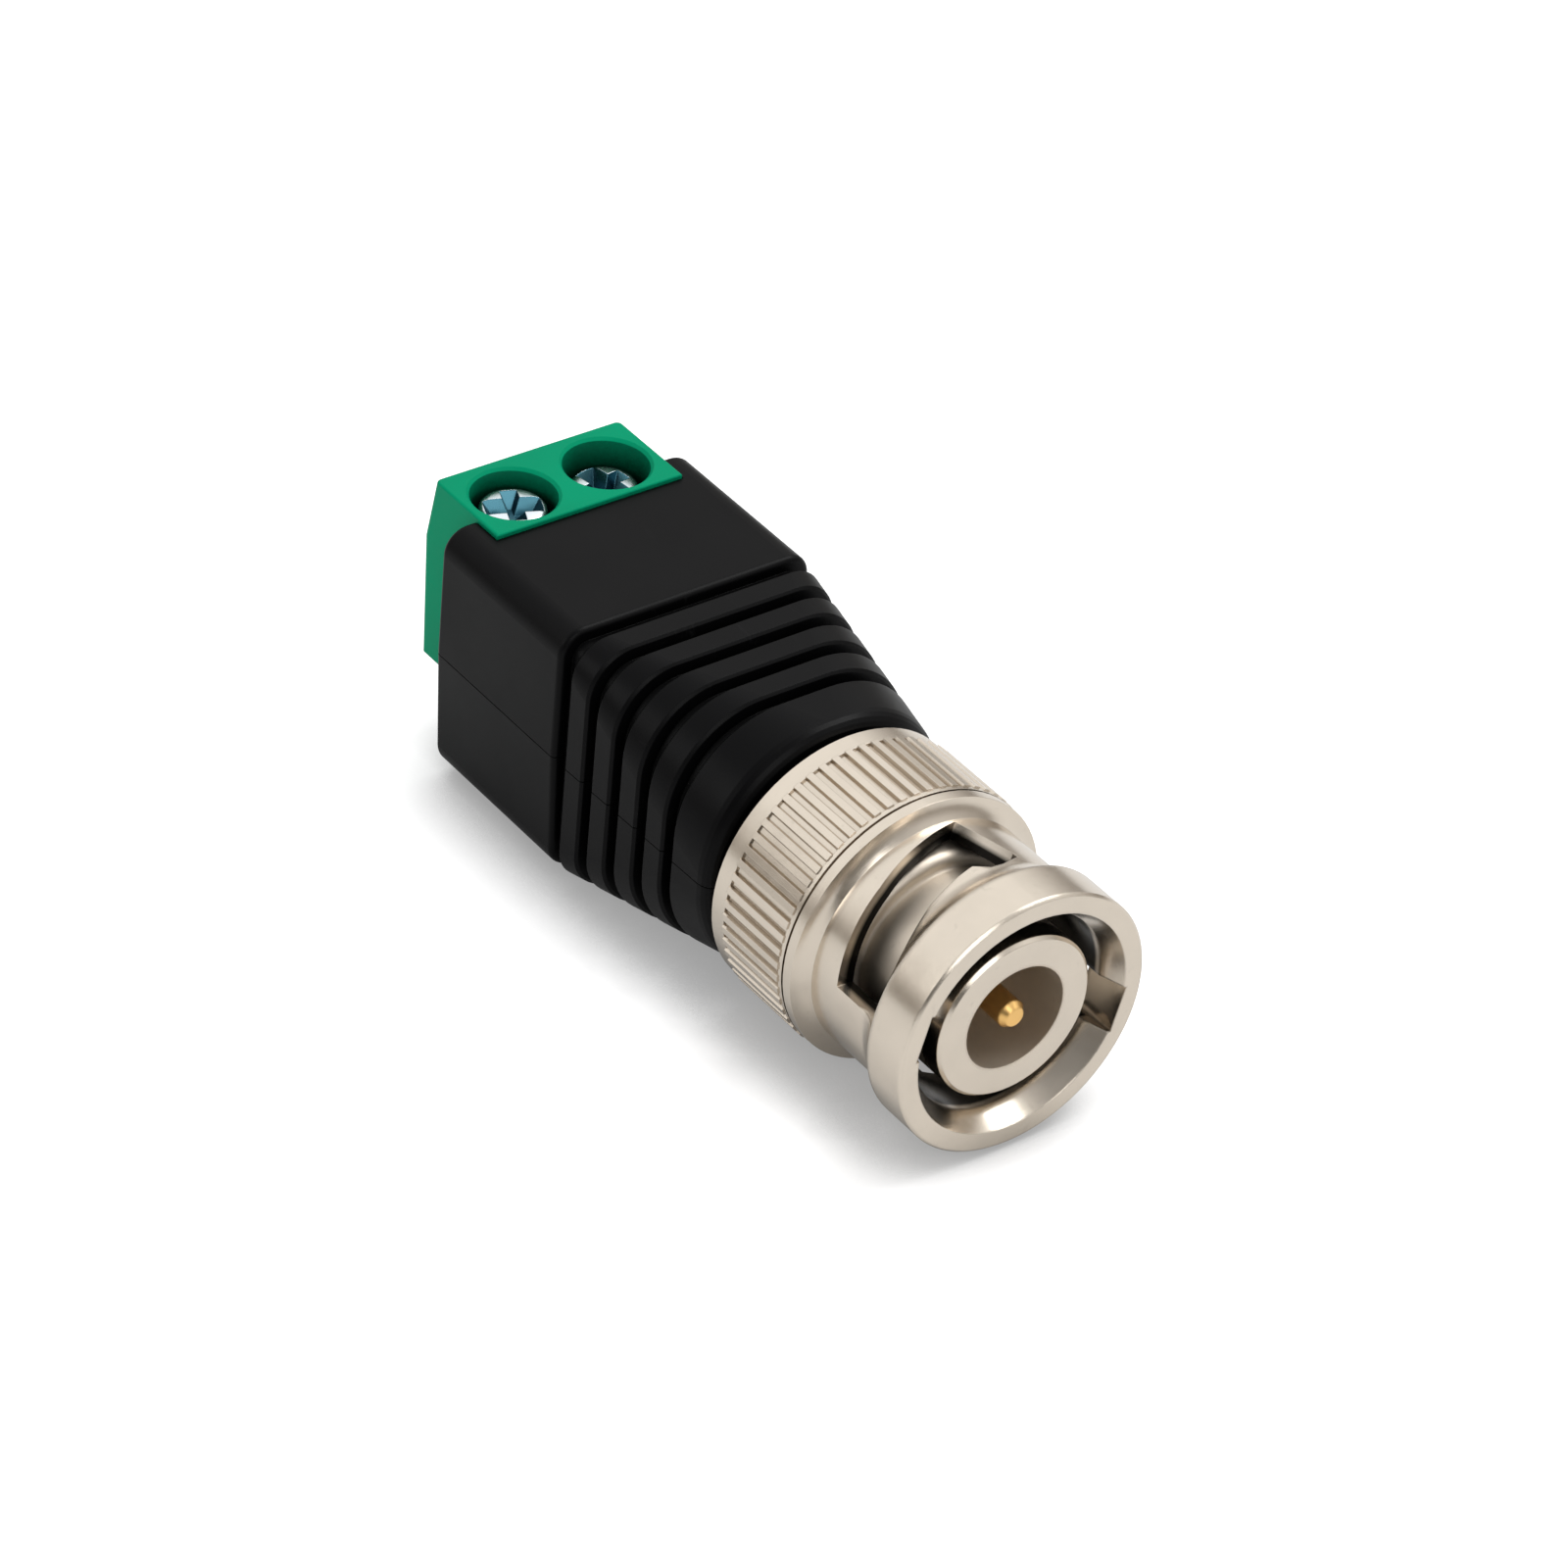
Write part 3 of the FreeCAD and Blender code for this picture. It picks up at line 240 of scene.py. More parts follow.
def bore_shade(tree, radius_mm, front_mm, floor):
    """A floor value inside a bore about the object's X axis, behind its front, and 1 outside."""
    x, radius = axis_place(tree)
    outside = ramp(tree, radius, (radius_mm - 0.10) * MM, (radius_mm + 0.15) * MM)
    ahead = ramp(tree, x, (front_mm - 0.1) * MM, (front_mm + 0.1) * MM)
    return ramp(tree, maths(tree, "MAXIMUM", outside, ahead), 0.0, 1.0, floor, 1.0)


def soft_edges(tree, changes):
    """An edge radius in metres, the least of some ramps along the object's X axis."""
    x, _ = axis_place(tree)
    least = 1.0
    for back, front, back_edge, front_edge in changes:
        least = maths(tree, "MINIMUM", least, ramp(tree, x, back * MM, front * MM,
                                                   back_edge * MM, front_edge * MM))
    return least


def duller(tree, gloss, place, start_mm, end_mm, rough):
    """A roughness raised to a value before the start of a place's range, and kept after its end."""
    there = ramp(tree, place, start_mm * MM, end_mm * MM, rough, 0.0)
    return maths(tree, "MAXIMUM", gloss, there)


def moulded_plastic(name, colour, rough, grain_mm=0.08, depth=0.35, pale=0.35, specular=0.5,
                    nooks=(2.5, 0.08, 0.6, 0.3)):
    """Injection-moulded plastic: grain, cloudy gloss, faint scuffs, and painted shade in nooks, as
    in nook_shade.

    pale: how much lighter the scuffs are.
    """
    material, tree, shader = new_material(name)
    grain = group_node(tree, moulded_grain_group, Grain_Size=grain_mm)
    worn = tuple(min(1.0, c * (1 + pale) + 0.012 * pale) for c in colour)
    shade = tuple(c * 0.9 for c in colour)
    tone = mix_colour(tree, ramp(tree, grain.outputs["Clouds"], 0.3, 0.7), shade, colour)
    tone = mix_colour(tree, grain.outputs["Scuffs"], tone, worn)
    # Painted shade: the colour falls toward black in nooks, from their occlusion.
    tone = mix_colour(tree, nook_shade(tree, *nooks), BLACK, tone)
    tree.links.new(tone, shader.inputs["Base Color"])
    gloss = ramp(tree, grain.outputs["Clouds"], 0.25, 0.75, rough - 0.04, rough + 0.05)
    scuffed = maths(tree, "ADD", gloss,
                    maths(tree, "MULTIPLY", grain.outputs["Scuffs"], 0.10))
    tree.links.new(scuffed, shader.inputs["Roughness"])
    shader.inputs["Specular IOR Level"].default_value = specular
    bump(tree, shader, grain.outputs["Height"], depth, 0.01, 0.06 * MM)
    return material


def plated_metal(name, colour, rough, ring_mm=0.06, depth=0.12, stain=(0.35, 0.31, 0.26),
                 nooks=(2.0, 0.08, 0.55, 0.25), painted_shade_share=(0.16, 0.11, 0.07), bore=None,
                 edges=None, inside=None, back=None):
    """Plated metal over lathe rings, with blotchy gloss, pin spots, and painted shade in nooks and
    bore.

    nooks: as in nook_shade, where the painted shade keeps a given share of each channel of the
    colour.
    bore: as in bore_shade. edges: as in soft_edges, or None for 0.07 mm all over.
    inside: a radius in millimetres and the roughness within it. back: a place along X in
    millimetres and the roughness behind it.
    """
    material, tree, shader = new_material(name)
    plate = group_node(tree, turned_plate_group, Ring_Pitch=ring_mm)
    dull = tuple(c * 0.95 for c in colour)
    tone = mix_colour(tree, ramp(tree, plate.outputs["Blotches"], 0.35, 0.65), dull, colour)
    speck = maths(tree, "MULTIPLY", plate.outputs["Spots"], 0.12)
    tone = mix_colour(tree, speck, tone, stain)
    # Painted shade: in nooks the colour falls to a share of itself, from their occlusion.
    shade = tuple(c * s for c, s in zip(colour, painted_shade_share))
    tone = mix_colour(tree, nook_shade(tree, *nooks), shade, tone)
    # Painted shade: the colour is black inside the bore.
    if bore:
        tone = mix_colour(tree, bore_shade(tree, *bore), BLACK, tone)
    tree.links.new(tone, shader.inputs["Base Color"])
    gloss = ramp(tree, plate.outputs["Blotches"], 0.3, 0.7, rough - 0.03, rough + 0.04)
    if inside:
        radius_mm, inner_rough = inside
        _, radius = axis_place(tree)
        gloss = duller(tree, gloss, radius, radius_mm, radius_mm + 0.1, inner_rough)
    if back:
        front_mm, back_rough = back
        x, _ = axis_place(tree)
        gloss = duller(tree, gloss, x, front_mm - 0.3, front_mm, back_rough)
    tree.links.new(gloss, shader.inputs["Roughness"])
    shader.inputs["Metallic"].default_value = 1.0
    edge = soft_edges(tree, edges) if edges else 0.07 * MM
    bump(tree, shader, plate.outputs["Height"], depth, 0.006, edge)
    return material


# Mesh helpers

def smooth_faces(mesh, smooth_deg, clean=False):
    """Shades faces smooth up to an angle, and cleans a new mesh first if asked."""
    work = bmesh.new()
    work.from_mesh(mesh)
    if clean:
        bmesh.ops.remove_doubles(work, verts=work.verts, dist=1e-7)
        bmesh.ops.recalc_face_normals(work, faces=work.faces)
    for edge in work.edges:
        edge.smooth = len(edge.link_faces) == 2 and edge.calc_face_angle(0) < math.radians(
            smooth_deg)
    for face in work.faces:
        face.smooth = True
    work.to_mesh(mesh)
    work.free()


def mesh_object(name, vertices, faces, material, smooth_deg=40.0):
    """A mesh object from millimetre points, with its faces shaded smooth up to an angle."""
    mesh = bpy.data.meshes.new(name)
    mesh.from_pydata([Vector(v) * MM for v in vertices], [], faces)
    mesh.validate()
    smooth_faces(mesh, smooth_deg, clean=True)
    mesh.materials.append(material)
    made = bpy.data.objects.new(name, mesh)
    bpy.context.scene.collection.objects.link(made)
    return made


def lathe(profile, x, y, steps, radius):
    """Points and faces of a (radius, z) profile turned about an upright axis."""
    vertices, faces = [], []
    count = len(profile)
    for k in range(steps):
        a = 2 * math.pi * k / steps
        for r, z in profile:
            at = radius(r, z, k / steps)
            vertices.append((x + at * math.cos(a), y + at * math.sin(a), z))
    for k in range(steps):
        for j in range(count - 1):
            a, b = k * count + j, ((k + 1) % steps) * count + j
            faces.append((a, b, b + 1, a + 1))
    return vertices, faces


def tapered_bar(name, centre, angle, top, foot, low, high, material):
    """A bar with slanted sides, turned about an upright axis. Top and foot are half sizes."""
    vertices = []
    for (half_long, half_wide), z in ((foot, low), (top, high)):
        for u, v in ((-1, -1), (1, -1), (1, 1), (-1, 1)):
            along, across = u * half_long, v * half_wide
            vertices.append((centre[0] + along * math.cos(angle) - across * math.sin(angle),
                             centre[1] + along * math.sin(angle) + across * math.cos(angle), z))
    faces = [(3, 2, 1, 0), (4, 5, 6, 7)] + [(k, (k + 1) % 4, 4 + (k + 1) % 4, 4 + k)
                                            for k in range(4)]
    return mesh_object(name, vertices, faces, material)


def cut_with(target, cutters, smooth_deg):
    """Cuts meshes out of a piece, with their material on the cuts, and removes them."""
    for cutter in cutters:
        modifier = target.modifiers.new("cut", "BOOLEAN")
        modifier.operation = "DIFFERENCE"
        modifier.solver = "EXACT"
        modifier.material_mode = "TRANSFER"
        modifier.object = cutter
    graph = bpy.context.evaluated_depsgraph_get()
    mesh = bpy.data.meshes.new_from_object(target.evaluated_get(graph))
    target.modifiers.clear()
    smooth_faces(mesh, smooth_deg)
    target.data = mesh
    for cutter in cutters:
        bpy.data.objects.remove(cutter)


def dress(names, material):
    """Gives CAD nodes a material."""
    for name in names:
        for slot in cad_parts[name].material_slots:
            slot.material = material


# Settings

class HousingSettings(bpy.types.PropertyGroup):
    """Finish of the housing and the terminal block."""

    black: bpy.props.FloatVectorProperty(
        name="Housing colour", description="Colour of the two moulded halves", subtype="COLOR",
        default=(0.0018, 0.0018, 0.0021), min=0, max=1)
    black_rough: bpy.props.FloatProperty(
        name="Housing roughness", description="0 is glossy, 1 is dull", subtype="FACTOR",
        default=0.38, min=0, max=1)
    green: bpy.props.FloatVectorProperty(
        name="Terminal colour", description="Colour of the terminal block", subtype="COLOR",
        default=(0.0, 0.335, 0.165), min=0, max=1)
    green_rough: bpy.props.FloatProperty(
        name="Terminal roughness", description="0 is glossy, 1 is dull", subtype="FACTOR",
        default=0.42, min=0, max=1)


class PlugSettings(bpy.types.PropertyGroup):
    """Finish of the plug's metal parts."""

    nickel: bpy.props.FloatVectorProperty(
        name="Nickel colour", description="Colour of the nut and the plug body", subtype="COLOR",
        default=(0.70, 0.625, 0.53), min=0, max=1)
    nickel_rough: bpy.props.FloatProperty(
        name="Nickel roughness", description="0 is mirror bright, 1 is dull", subtype="FACTOR",
        default=0.21, min=0, max=1)
    gold: bpy.props.FloatVectorProperty(
        name="Gold colour", description="Colour of the centre pin", subtype="COLOR",
        default=(0.90, 0.56, 0.20), min=0, max=1)
    spring_keep: bpy.props.FloatProperty(
        name="Pressed spring", description="Height of the pressed spring over its free height",
        subtype="FACTOR", default=0.4, min=0.1, max=1)
    spring_waves: bpy.props.IntProperty(
        name="Spring waves", description="Waves round the nut's spring", default=3, min=2, max=6)


class ScrewSettings(bpy.types.PropertyGroup):
    """Sizes and finish of the terminal screws, in millimetres."""

    pitch: bpy.props.FloatProperty(
        name="Thread pitch", description="Rise of the thread in one turn", default=0.45,
        min=0.1, max=2)
    thread_depth: bpy.props.FloatProperty(
        name="Thread depth", description="Depth of the thread", default=0.24, min=0.05, max=1)
    head_height: bpy.props.FloatProperty(
        name="Head height", description="Height of the head", default=1.6, min=0.5, max=5)
    shank_radius: bpy.props.FloatProperty(
        name="Shank radius", description="Outer radius of the thread", default=1.25, min=0.5,
        max=5)
    recess_depth: bpy.props.FloatProperty(
        name="Recess depth", description="Depth of the crossed slots", default=0.75, min=0.1,
        max=2)
    left_angle: bpy.props.FloatProperty(
        name="Left slot", description="Turn of the left screw's long slot", unit="ROTATION",
        subtype="ANGLE", default=math.radians(68))
    right_angle: bpy.props.FloatProperty(
        name="Right slot", description="Turn of the right screw's long slot", unit="ROTATION",
        subtype="ANGLE", default=math.radians(10))
    zinc: bpy.props.FloatVectorProperty(
        name="Zinc colour", description="Colour of the screws", subtype="COLOR",
        default=(0.80, 0.86, 0.90), min=0, max=1)
    # The recess colour is a painted shade: the zinc in the crossed slots is drawn dark and blue.
    recess_painted_shade: bpy.props.FloatVectorProperty(
        name="Recess colour", description="Colour of the plating in the crossed slots",
        subtype="COLOR", default=(0.056, 0.155, 0.198), min=0, max=1)


class StudioSettings(bpy.types.PropertyGroup):
    """Camera, floor and lights."""

    azimuth: bpy.props.FloatProperty(
        name="Azimuth", description="Camera's angle round the object", unit="ROTATION",
        subtype="ANGLE", default=math.radians(50.528))
    elevation: bpy.props.FloatProperty(
        name="Elevation", description="Camera's angle above the horizon", unit="ROTATION",
        subtype="ANGLE", default=math.radians(36.312))
    roll: bpy.props.FloatProperty(
        name="Roll", description="Camera's turn about its own view", unit="ROTATION",
        subtype="ANGLE", default=math.radians(5.735))
    distance: bpy.props.FloatProperty(
        name="Distance", description="From the camera to the object's middle",
        subtype="DISTANCE", unit="LENGTH", default=0.26434, precision=5)
    aim: bpy.props.FloatVectorProperty(
        name="Aim", description="Point that the camera looks at", subtype="TRANSLATION",
        unit="LENGTH", default=(-0.016959, 0.000044, 0.001386), precision=6)
    lens: bpy.props.FloatProperty(
        name="Lens", description="Focal length in millimetres on a 36 mm sensor",
        default=137.721, min=10, max=500)
    floor_colour: bpy.props.FloatVectorProperty(
        name="Floor colour", description="Colour of the floor", subtype="COLOR",
        default=(0.66, 0.66, 0.66), min=0, max=1)
    floor_glow: bpy.props.FloatProperty(
        name="Floor glow", description="White that the camera sees on the floor besides its light",
        subtype="FACTOR", default=0.72, min=0, max=1)
    contact_reach: bpy.props.FloatProperty(
        name="Contact shade", description="How far the shade beside the object spreads",
        subtype="DISTANCE", unit="LENGTH", default=0.0045, min=0.001, max=0.1, precision=4)


# Operators

class BALUN_OT_studio(bpy.types.Operator):
    """Camera, lights, pale floor and world"""

    bl_idname = "balun.studio"
    bl_label = "Studio"

    # The world: what metal mirrors low and high, the room's light, and a dark card's direction
    horizon = (0.20, 0.17, 0.135)
    zenith = (1.15, 1.15, 1.15)
    soft_light = (0.52, 0.52, 0.52)
    dark_card = (0.62, -0.51, 0.59)
    # Square lamps: name, direction from the object, distance and side in metres, level
    softboxes = (("softbox_key", (0.05, 0.62, 0.95), 0.42, 0.22, 0.42),
                 ("softbox_front", (1.0, -0.25, 0.75), 0.50, 0.26, 0.22),
                 ("softbox_left", (-0.35, -1.0, 0.55), 0.55, 0.24, 0.12))

    def execute(self, context):
        settings = context.scene.balun_studio
        self.camera(context, settings)
        self.floor(settings)
        self.world(context)
        self.lights()
        context.scene.view_settings.view_transform = "Standard"
        return {"FINISHED"}

    def camera(self, context, settings):
        az, el, roll = settings.azimuth, settings.elevation, settings.roll
        back = Vector((math.sin(az) * math.cos(el), -math.cos(az) * math.cos(el), math.sin(el)))
        right = Vector((math.cos(az), math.sin(az), 0))
        up = back.cross(right)
        right, up = (right * math.cos(roll) + up * math.sin(roll),
                     up * math.cos(roll) - right * math.sin(roll))
        data = bpy.data.cameras.new("photo_camera")
        data.sensor_width = 36
        data.lens = settings.lens
        data.clip_start = 0.01
        camera = bpy.data.objects.new("photo_camera", data)
        turn = Matrix((right, up, back)).transposed().to_4x4()
        camera.matrix_world = Matrix.Translation(
            Vector(settings.aim) + back * settings.distance) @ turn
        context.scene.collection.objects.link(camera)
        context.scene.camera = camera

    def floor(self, settings):
        low, half = cad_box[0][2], FLOOR_HALF
        corners = [(-half, -half, low), (half, -half, low), (half, half, low), (-half, half, low)]
        mesh = bpy.data.meshes.new("studio_floor")
        mesh.from_pydata(corners, [], [(0, 1, 2, 3)])
        floor = bpy.data.objects.new("studio_floor", mesh)
        bpy.context.scene.collection.objects.link(floor)
        material, tree, shader = new_material("pale_floor")
        # Painted shadow: the floor's colour and glow fall toward black beside the object, from its
        # occlusion.
        sky = add_node(tree, "ShaderNodeAmbientOcclusion", {"samples": FLOOR_SAMPLES},
                       Distance=settings.contact_reach).outputs["AO"]
        open_share = ramp(tree, sky, 0.45, 0.90, 0.42, 1.0)
        tone = mix_colour(tree, open_share, BLACK, tuple(settings.floor_colour))
        tree.links.new(tone, shader.inputs["Base Color"])
        shader.inputs["Roughness"].default_value = 0.9
        shader.inputs["Specular IOR Level"].default_value = 0.1
        path = add_node(tree, "ShaderNodeLightPath")
        mirrored = maths(tree, "MAXIMUM", path.outputs["Is Glossy Ray"],
                         path.outputs["Is Transmission Ray"])
        seen = maths(tree, "MAXIMUM", path.outputs["Is Camera Ray"],
                     maths(tree, "MULTIPLY", mirrored, 0.4))
        shader.inputs["Emission Color"].default_value = (1, 1, 1, 1)
        glow = maths(tree, "MULTIPLY", seen, settings.floor_glow)
        tree.links.new(maths(tree, "MULTIPLY", glow, open_share),
                       shader.inputs["Emission Strength"])
        mesh.materials.append(material)

    def world(self, context):
        world = bpy.data.worlds.new("studio_world")
        world.use_nodes = True
        tree = world.node_tree
        shader = tree.nodes["Background"]
        path = add_node(tree, "ShaderNodeLightPath")
        place = add_node(tree, "ShaderNodeTexCoord").outputs["Generated"]
        height = add_node(tree, "ShaderNodeSeparateXYZ", None, Vector=place).outputs["Z"]
        card = add_node(tree, "ShaderNodeVectorMath", {"operation": "DOT_PRODUCT"})
        link_in(tree, card.inputs[0], place)
        card.inputs[1].default_value = self.dark_card
        dark = ramp(tree, card.outputs["Value"], 0.45, 0.9, 1.0, 0.25)
        glossy = mix_colour(tree, ramp(tree, height, 0.0, 0.6), self.horizon, self.zenith)
        glossy = mix_colour(tree, dark, BLACK, glossy)
        level = mix_colour(tree, path.outputs["Is Glossy Ray"], self.soft_light, glossy)
        level = mix_colour(tree, path.outputs["Is Camera Ray"], level, WHITE)
        tree.links.new(level, shader.inputs["Color"])
        shader.inputs["Strength"].default_value = 1.0
        context.scene.world = world

    def lights(self):
        middle = Vector((-0.017, 0, 0))
        for name, direction, distance, size, level in self.softboxes:
            toward = Vector(direction).normalized()
            data = bpy.data.lights.new(name, "AREA")
            data.shape = "SQUARE"
            data.size = size
            data.energy = level * math.pi ** 2 * distance ** 2
            lamp = bpy.data.objects.new(name, data)
            lamp.location = middle + toward * distance
            lamp.rotation_euler = toward.to_track_quat("Z", "Y").to_euler()
            bpy.context.scene.collection.objects.link(lamp)


class BALUN_OT_housing(bpy.types.Operator):
    """Black moulded halves of the housing"""

    bl_idname = "balun.housing"
    bl_label = "Housing"

    def execute(self, context):
        settings = context.scene.balun_housing
        dress(["upper_shell", "lower_shell"],
              moulded_plastic("black_moulding", tuple(settings.black), settings.black_rough,
                              grain_mm=0.07, depth=0.2, pale=0.4, specular=0.085,
                              nooks=(1.2, 0.08, 0.6, 0.12)))
        return {"FINISHED"}


class BALUN_OT_terminal(bpy.types.Operator):
    """Green terminal block, its contact frames and pressure plates"""

    bl_idname = "balun.terminal"
    bl_label = "Terminal block"

    def execute(self, context):
        settings = context.scene.balun_housing
        dress(["terminal_block"],
              moulded_plastic("green_moulding", tuple(settings.green), settings.green_rough,
                              grain_mm=0.10, depth=0.12, pale=0.05, specular=0.05,
                              nooks=(4.5, 0.22, 0.60, 0.03)))
        tin = plated_metal("tin_plate", (0.63, 0.63, 0.61), 0.34, ring_mm=0.12)
        dress(["contact_frame_left", "contact_frame_right", "pressure_plate_left",
               "pressure_plate_right"], tin)
        return {"FINISHED"}


class BALUN_OT_screws(bpy.types.Operator):
    """Threaded terminal screws with a crossed recess"""

    bl_idname = "balun.screws"
    bl_label = "Terminal screws"

    rows_a_turn = 6         # rows of points in one pitch of the thread
    steps = 72              # points round the screw
    over_head = 0.4         # how far the cutters stand over the head
    # Slots: turn, half length and half width at the head's top, and their shares at the foot
    slots = ((0, 1.40, 0.60), (math.pi / 2, 1.22, 0.42))
    foot_shares = (0.60, 0.25)

    def execute(self, context):
        settings = context.scene.balun_screws
        zinc = plated_metal("zinc_plate", tuple(settings.zinc), 0.27, ring_mm=0.09, depth=0.05,
                            stain=(0.4, 0.42, 0.45), nooks=(1.0, 0.20, 0.62, 0.0),
                            painted_shade_share=(0.07, 0.18, 0.22))
        # The slots' cut faces get the painted shade colour, with more painted shade in their nooks.
        shaded = plated_metal("zinc_recess_painted_shade", tuple(settings.recess_painted_shade), 0.27, ring_mm=0.09,
                              depth=0.05, stain=(0.03, 0.07, 0.10), nooks=(1.0, 0.05, 0.40, 0.5))
        for side, angle in (("left", settings.left_angle), ("right", settings.right_angle)):
            node = "terminal_screw_" + side
            low, high = (Vector(corner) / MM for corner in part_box(node))
            screw = self.turned(side, low, high, settings, zinc)
            cut_with(screw, self.recess((low + high) / 2, high.z, angle, settings, shaded), 24)
            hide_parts(node)
            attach(screw, "screw_" + side)
        return {"FINISHED"}

    def turned(self, side, low, high, settings, zinc):
        """Low domed head over a threaded shank, which fills the solid screw's box."""
        x, y = (low.x + high.x) / 2, (low.y + high.y) / 2
        head, top, tip = (high.x - low.x) / 2, high.z, low.z
        under = top - settings.head_height
        shank = settings.shank_radius
        rows = [(0, top), (0.5 * head, top - 0.005), (0.75 * head, top - 0.02),
                (0.86 * head, top - 0.06), (0.93 * head, top - 0.13), (0.98 * head, top - 0.23),
                (head, top - 0.36), (head, under + 0.08), (head - 0.08, under), (shank, under)]
        count = round((under - tip) / settings.pitch * self.rows_a_turn)
        for k in range(1, count):
            rows.append((shank, under + (tip - under) * k / count))
        rows += [(shank - 0.3, tip), (0, tip)]

        def threaded(r, z, turn):
            if r != shank or z == under:
                return r
            phase = ((under - z) / settings.pitch + turn) % 1
            return shank - settings.thread_depth * (1 - abs(2 * phase - 1))

        vertices, faces = lathe(rows, x, y, self.steps, threaded)
        return mesh_object("screw_" + side + "_turned", vertices, faces, zinc, 32)

    def recess(self, middle, top, angle, settings, material):
        """Cutters of the crossed slots, which go on widening up to their tops over the head."""
        centre, foot = (middle.x, middle.y), top - settings.recess_depth
        grow = self.over_head / settings.recess_depth
        cutters = []
        for turn, *halves in self.slots:
            slim = [half * share for half, share in zip(halves, self.foot_shares)]
            wide = [half + grow * (half - s) for half, s in zip(halves, slim)]
            cutters.append(tapered_bar("slot_cutter", centre, angle + turn, wide, slim, foot,
                                       top + self.over_head, material))
        return cutters


class BALUN_OT_plug(bpy.types.Operator):
    """Nickel-plated nut and body, gold centre pin and insulator"""

    bl_idname = "balun.plug"
    bl_label = "Plug"

    def execute(self, context):
        settings = context.scene.balun_plug
        nickel, rough = tuple(settings.nickel), settings.nickel_rough
        # Painted shade: the nut is painted black inside its bore behind the ring, and these metals
        # are darker in their nooks.
        dress(["coupling_nut"], plated_metal("nickel_nut", nickel, rough,
                                             nooks=(1.0, 0.08, 0.62, 0.42),
                                             bore=(5.45, -0.80, 0.02),
                                             edges=((-3.4, -2.9, 0.03, 0.35),
                                                    (-1.0, 0.0, 0.35, 0.14))))
        dress(["plug_body", "retaining_bush"], plated_metal("nickel_plate", nickel, rough,
                                                            nooks=(2.0, 0.0, 0.35, 0.8),
                                                            edges=((-5.0, -4.0, 0.30, 0.08),),
                                                            inside=(2.65, 0.55),
                                                            back=(-1.0, 0.45)))
        dress(["centre_pin"], plated_metal("gold_plate", tuple(settings.gold), 0.30, ring_mm=0.05,
                                           depth=0.05, stain=(0.5, 0.3, 0.1),
                                           nooks=(0.5, 0.0, 0.3, 0.5),
                                           edges=((-2.0, -1.0, 0.05, 0.16),)))
        dress(["insulator"], moulded_plastic("insulator_plastic", (0.62, 0.60, 0.55), 0.4,
                                             depth=0.1, pale=0.1))
        dress(["thrust_washer"], plated_metal("spring_steel", (0.45, 0.45, 0.46), 0.3))
        return {"FINISHED"}


class BALUN_OT_spring(bpy.types.Operator):
    """Waved spring of the coupling nut"""

    bl_idname = "balun.spring"
    bl_label = "Nut spring"

    def execute(self, context):
        settings = context.scene.balun_plug
        low, high = (Vector(corner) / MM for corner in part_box("wave_spring"))
        strip, inner, outer = 0.20, 4.02, high.y
        swing = (high.x - low.x - strip) / 2
        middle = (high.x + low.x) / 2
        steps = 180
        vertices, faces = [], []
        for k in range(steps):
            a = 2 * math.pi * k / steps
            x = middle + swing * math.cos(settings.spring_waves * a)
            for side, r in ((-1, inner), (1, inner), (1, outer), (-1, outer)):
                vertices.append((x + side * strip / 2, r * math.cos(a), r * math.sin(a)))
        for k in range(steps):
            for j in range(4):
                here, there = 4 * k, 4 * ((k + 1) % steps)
                faces.append((here + j, there + j, there + (j + 1) % 4, here + (j + 1) % 4))
        spring = mesh_object("nut_spring", vertices, faces, bpy.data.materials["spring_steel"])
        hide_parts("wave_spring")
        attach(spring, ROOT)
        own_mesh(spring)
        return {"FINISHED"}


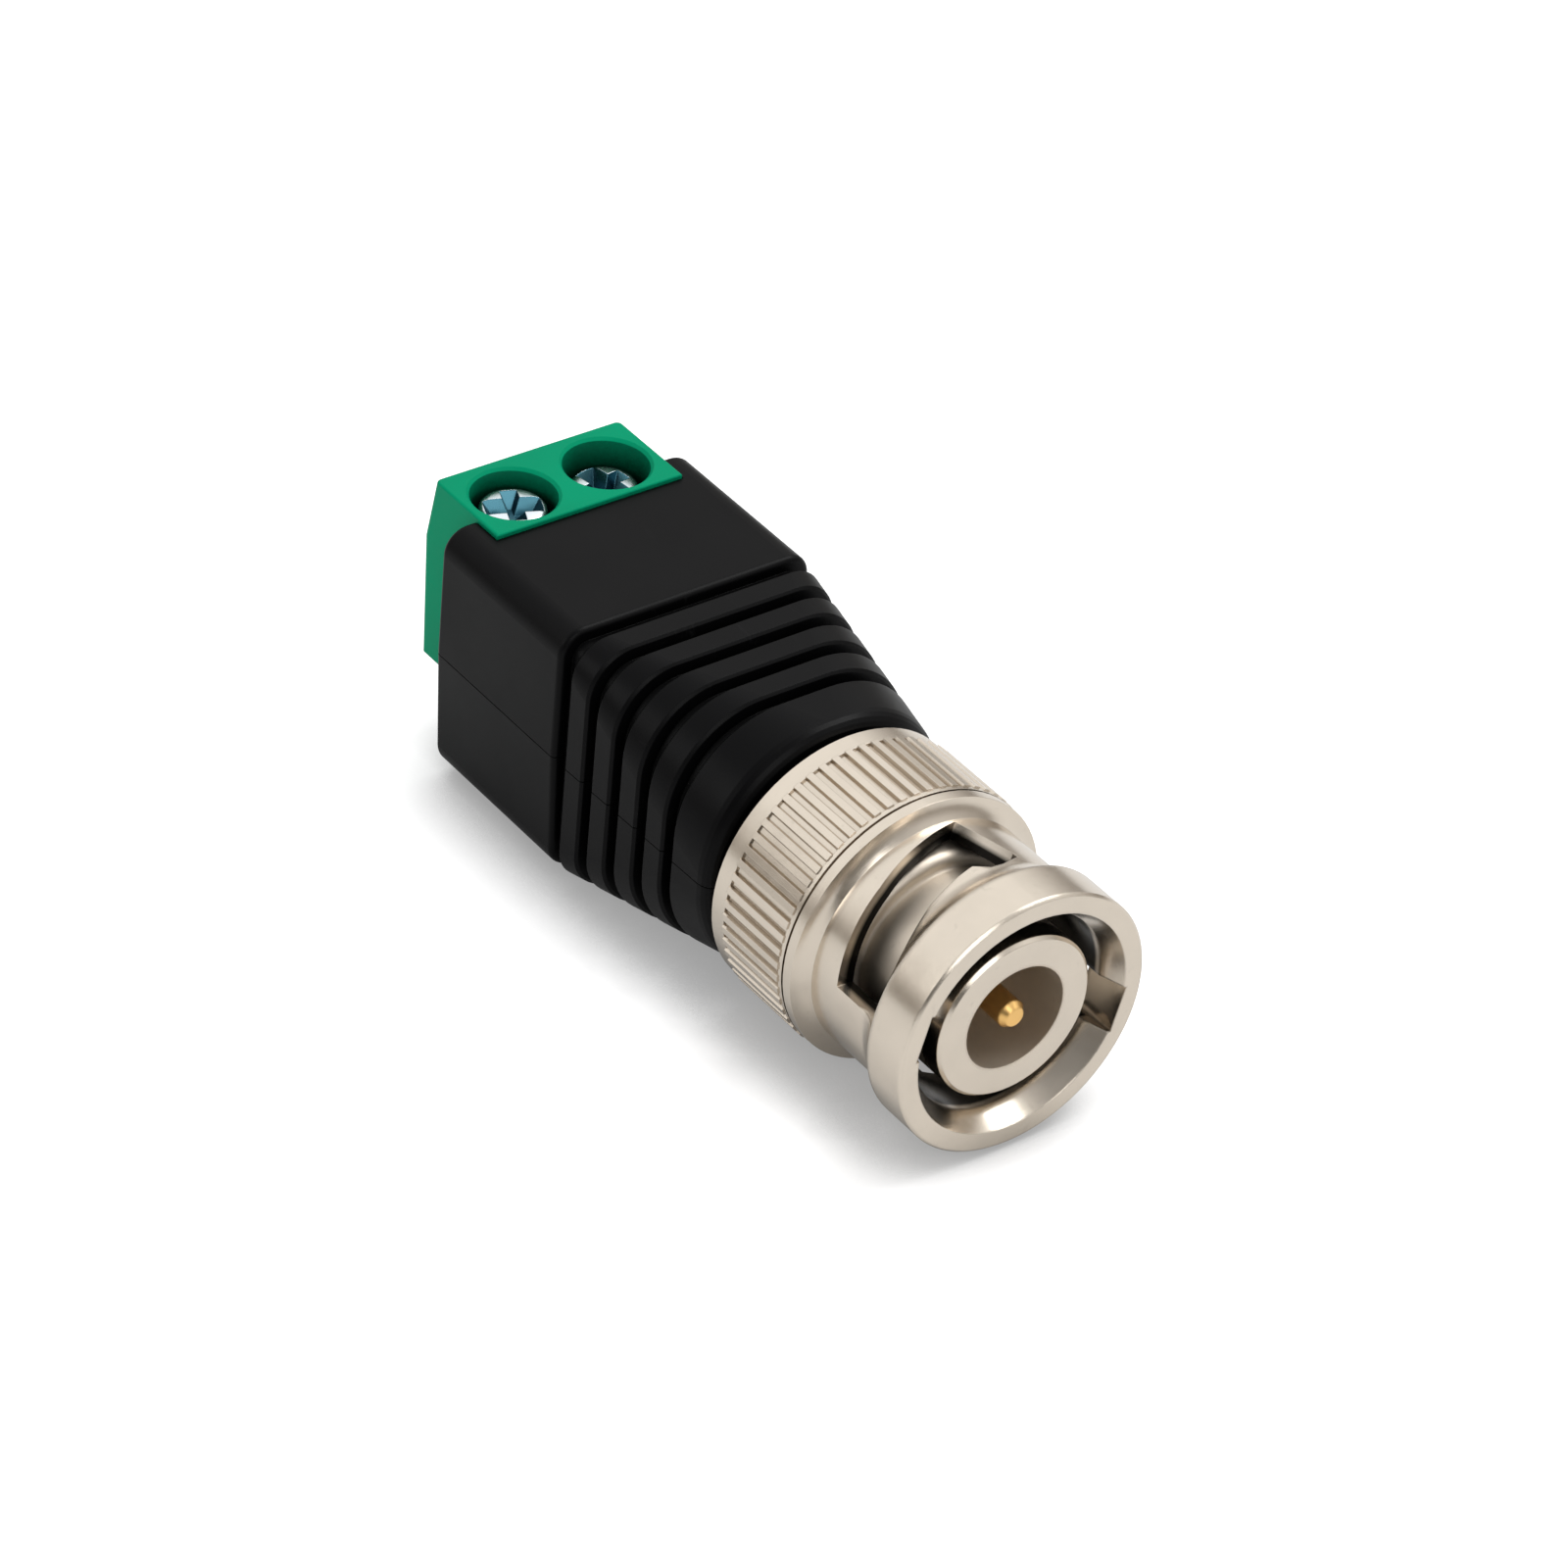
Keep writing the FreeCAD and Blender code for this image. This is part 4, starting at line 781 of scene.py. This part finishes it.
class BALUN_OT_inner_parts(bpy.types.Operator):
    """Board, transformer, leads and solder inside the housing"""

    bl_idname = "balun.inner_parts"
    bl_label = "Inner parts"

    def execute(self, context):
        dress(["circuit_board"], moulded_plastic("board_laminate", (0.03, 0.16, 0.06), 0.4))
        dress(["ferrite_core"], moulded_plastic("ferrite", (0.03, 0.03, 0.033), 0.62, depth=0.6))
        copper = plated_metal("copper_wire", (0.72, 0.33, 0.17), 0.28)
        dress(["copper_winding", "centre_lead", "ground_lead"], copper)
        dress(["solder_joints"], plated_metal("solder", (0.62, 0.63, 0.65), 0.22, depth=0.1))
        return {"FINISHED"}


class BALUN_OT_sizes(bpy.types.Operator):
    """Updates the view layer"""

    bl_idname = "balun.sizes"
    bl_label = "Write sizes"

    def execute(self, context):
        context.view_layer.update()
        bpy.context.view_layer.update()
        return {"FINISHED"}


class BALUN_PT_panel(bpy.types.Panel):
    """Lists the balun's pieces and their settings"""

    bl_label = "Balun"
    bl_space_type = "VIEW_3D"
    bl_region_type = "UI"
    bl_category = "Balun"

    def draw(self, context):
        layout = self.layout
        for operator in OPERATORS:
            layout.operator(operator.bl_idname)
        for name, group in SETTINGS.items():
            layout.label(text=group.__doc__)
            for key in group.__annotations__:
                layout.prop(getattr(context.scene, name), key)


SETTINGS = {
    "balun_studio": StudioSettings,
    "balun_housing": HousingSettings,
    "balun_plug": PlugSettings,
    "balun_screws": ScrewSettings,
}
OPERATORS = (BALUN_OT_studio, BALUN_OT_housing, BALUN_OT_terminal, BALUN_OT_screws, BALUN_OT_plug,
             BALUN_OT_spring, BALUN_OT_inner_parts, BALUN_OT_sizes)


def register():
    for name, group in SETTINGS.items():
        bpy.utils.register_class(group)
        setattr(bpy.types.Scene, name, bpy.props.PointerProperty(type=group))
    for item in OPERATORS + (BALUN_PT_panel,):
        bpy.utils.register_class(item)


def unregister():
    for item in reversed(OPERATORS + (BALUN_PT_panel,)):
        bpy.utils.unregister_class(item)
    for name, group in SETTINGS.items():
        delattr(bpy.types.Scene, name)
        bpy.utils.unregister_class(group)


def main():
    """Registers the classes and makes the scene piece by piece."""
    register()
    for operator in OPERATORS:
        group, name = operator.bl_idname.split(".")
        getattr(getattr(bpy.ops, group), name)()


if __name__ == "__main__":
    main()
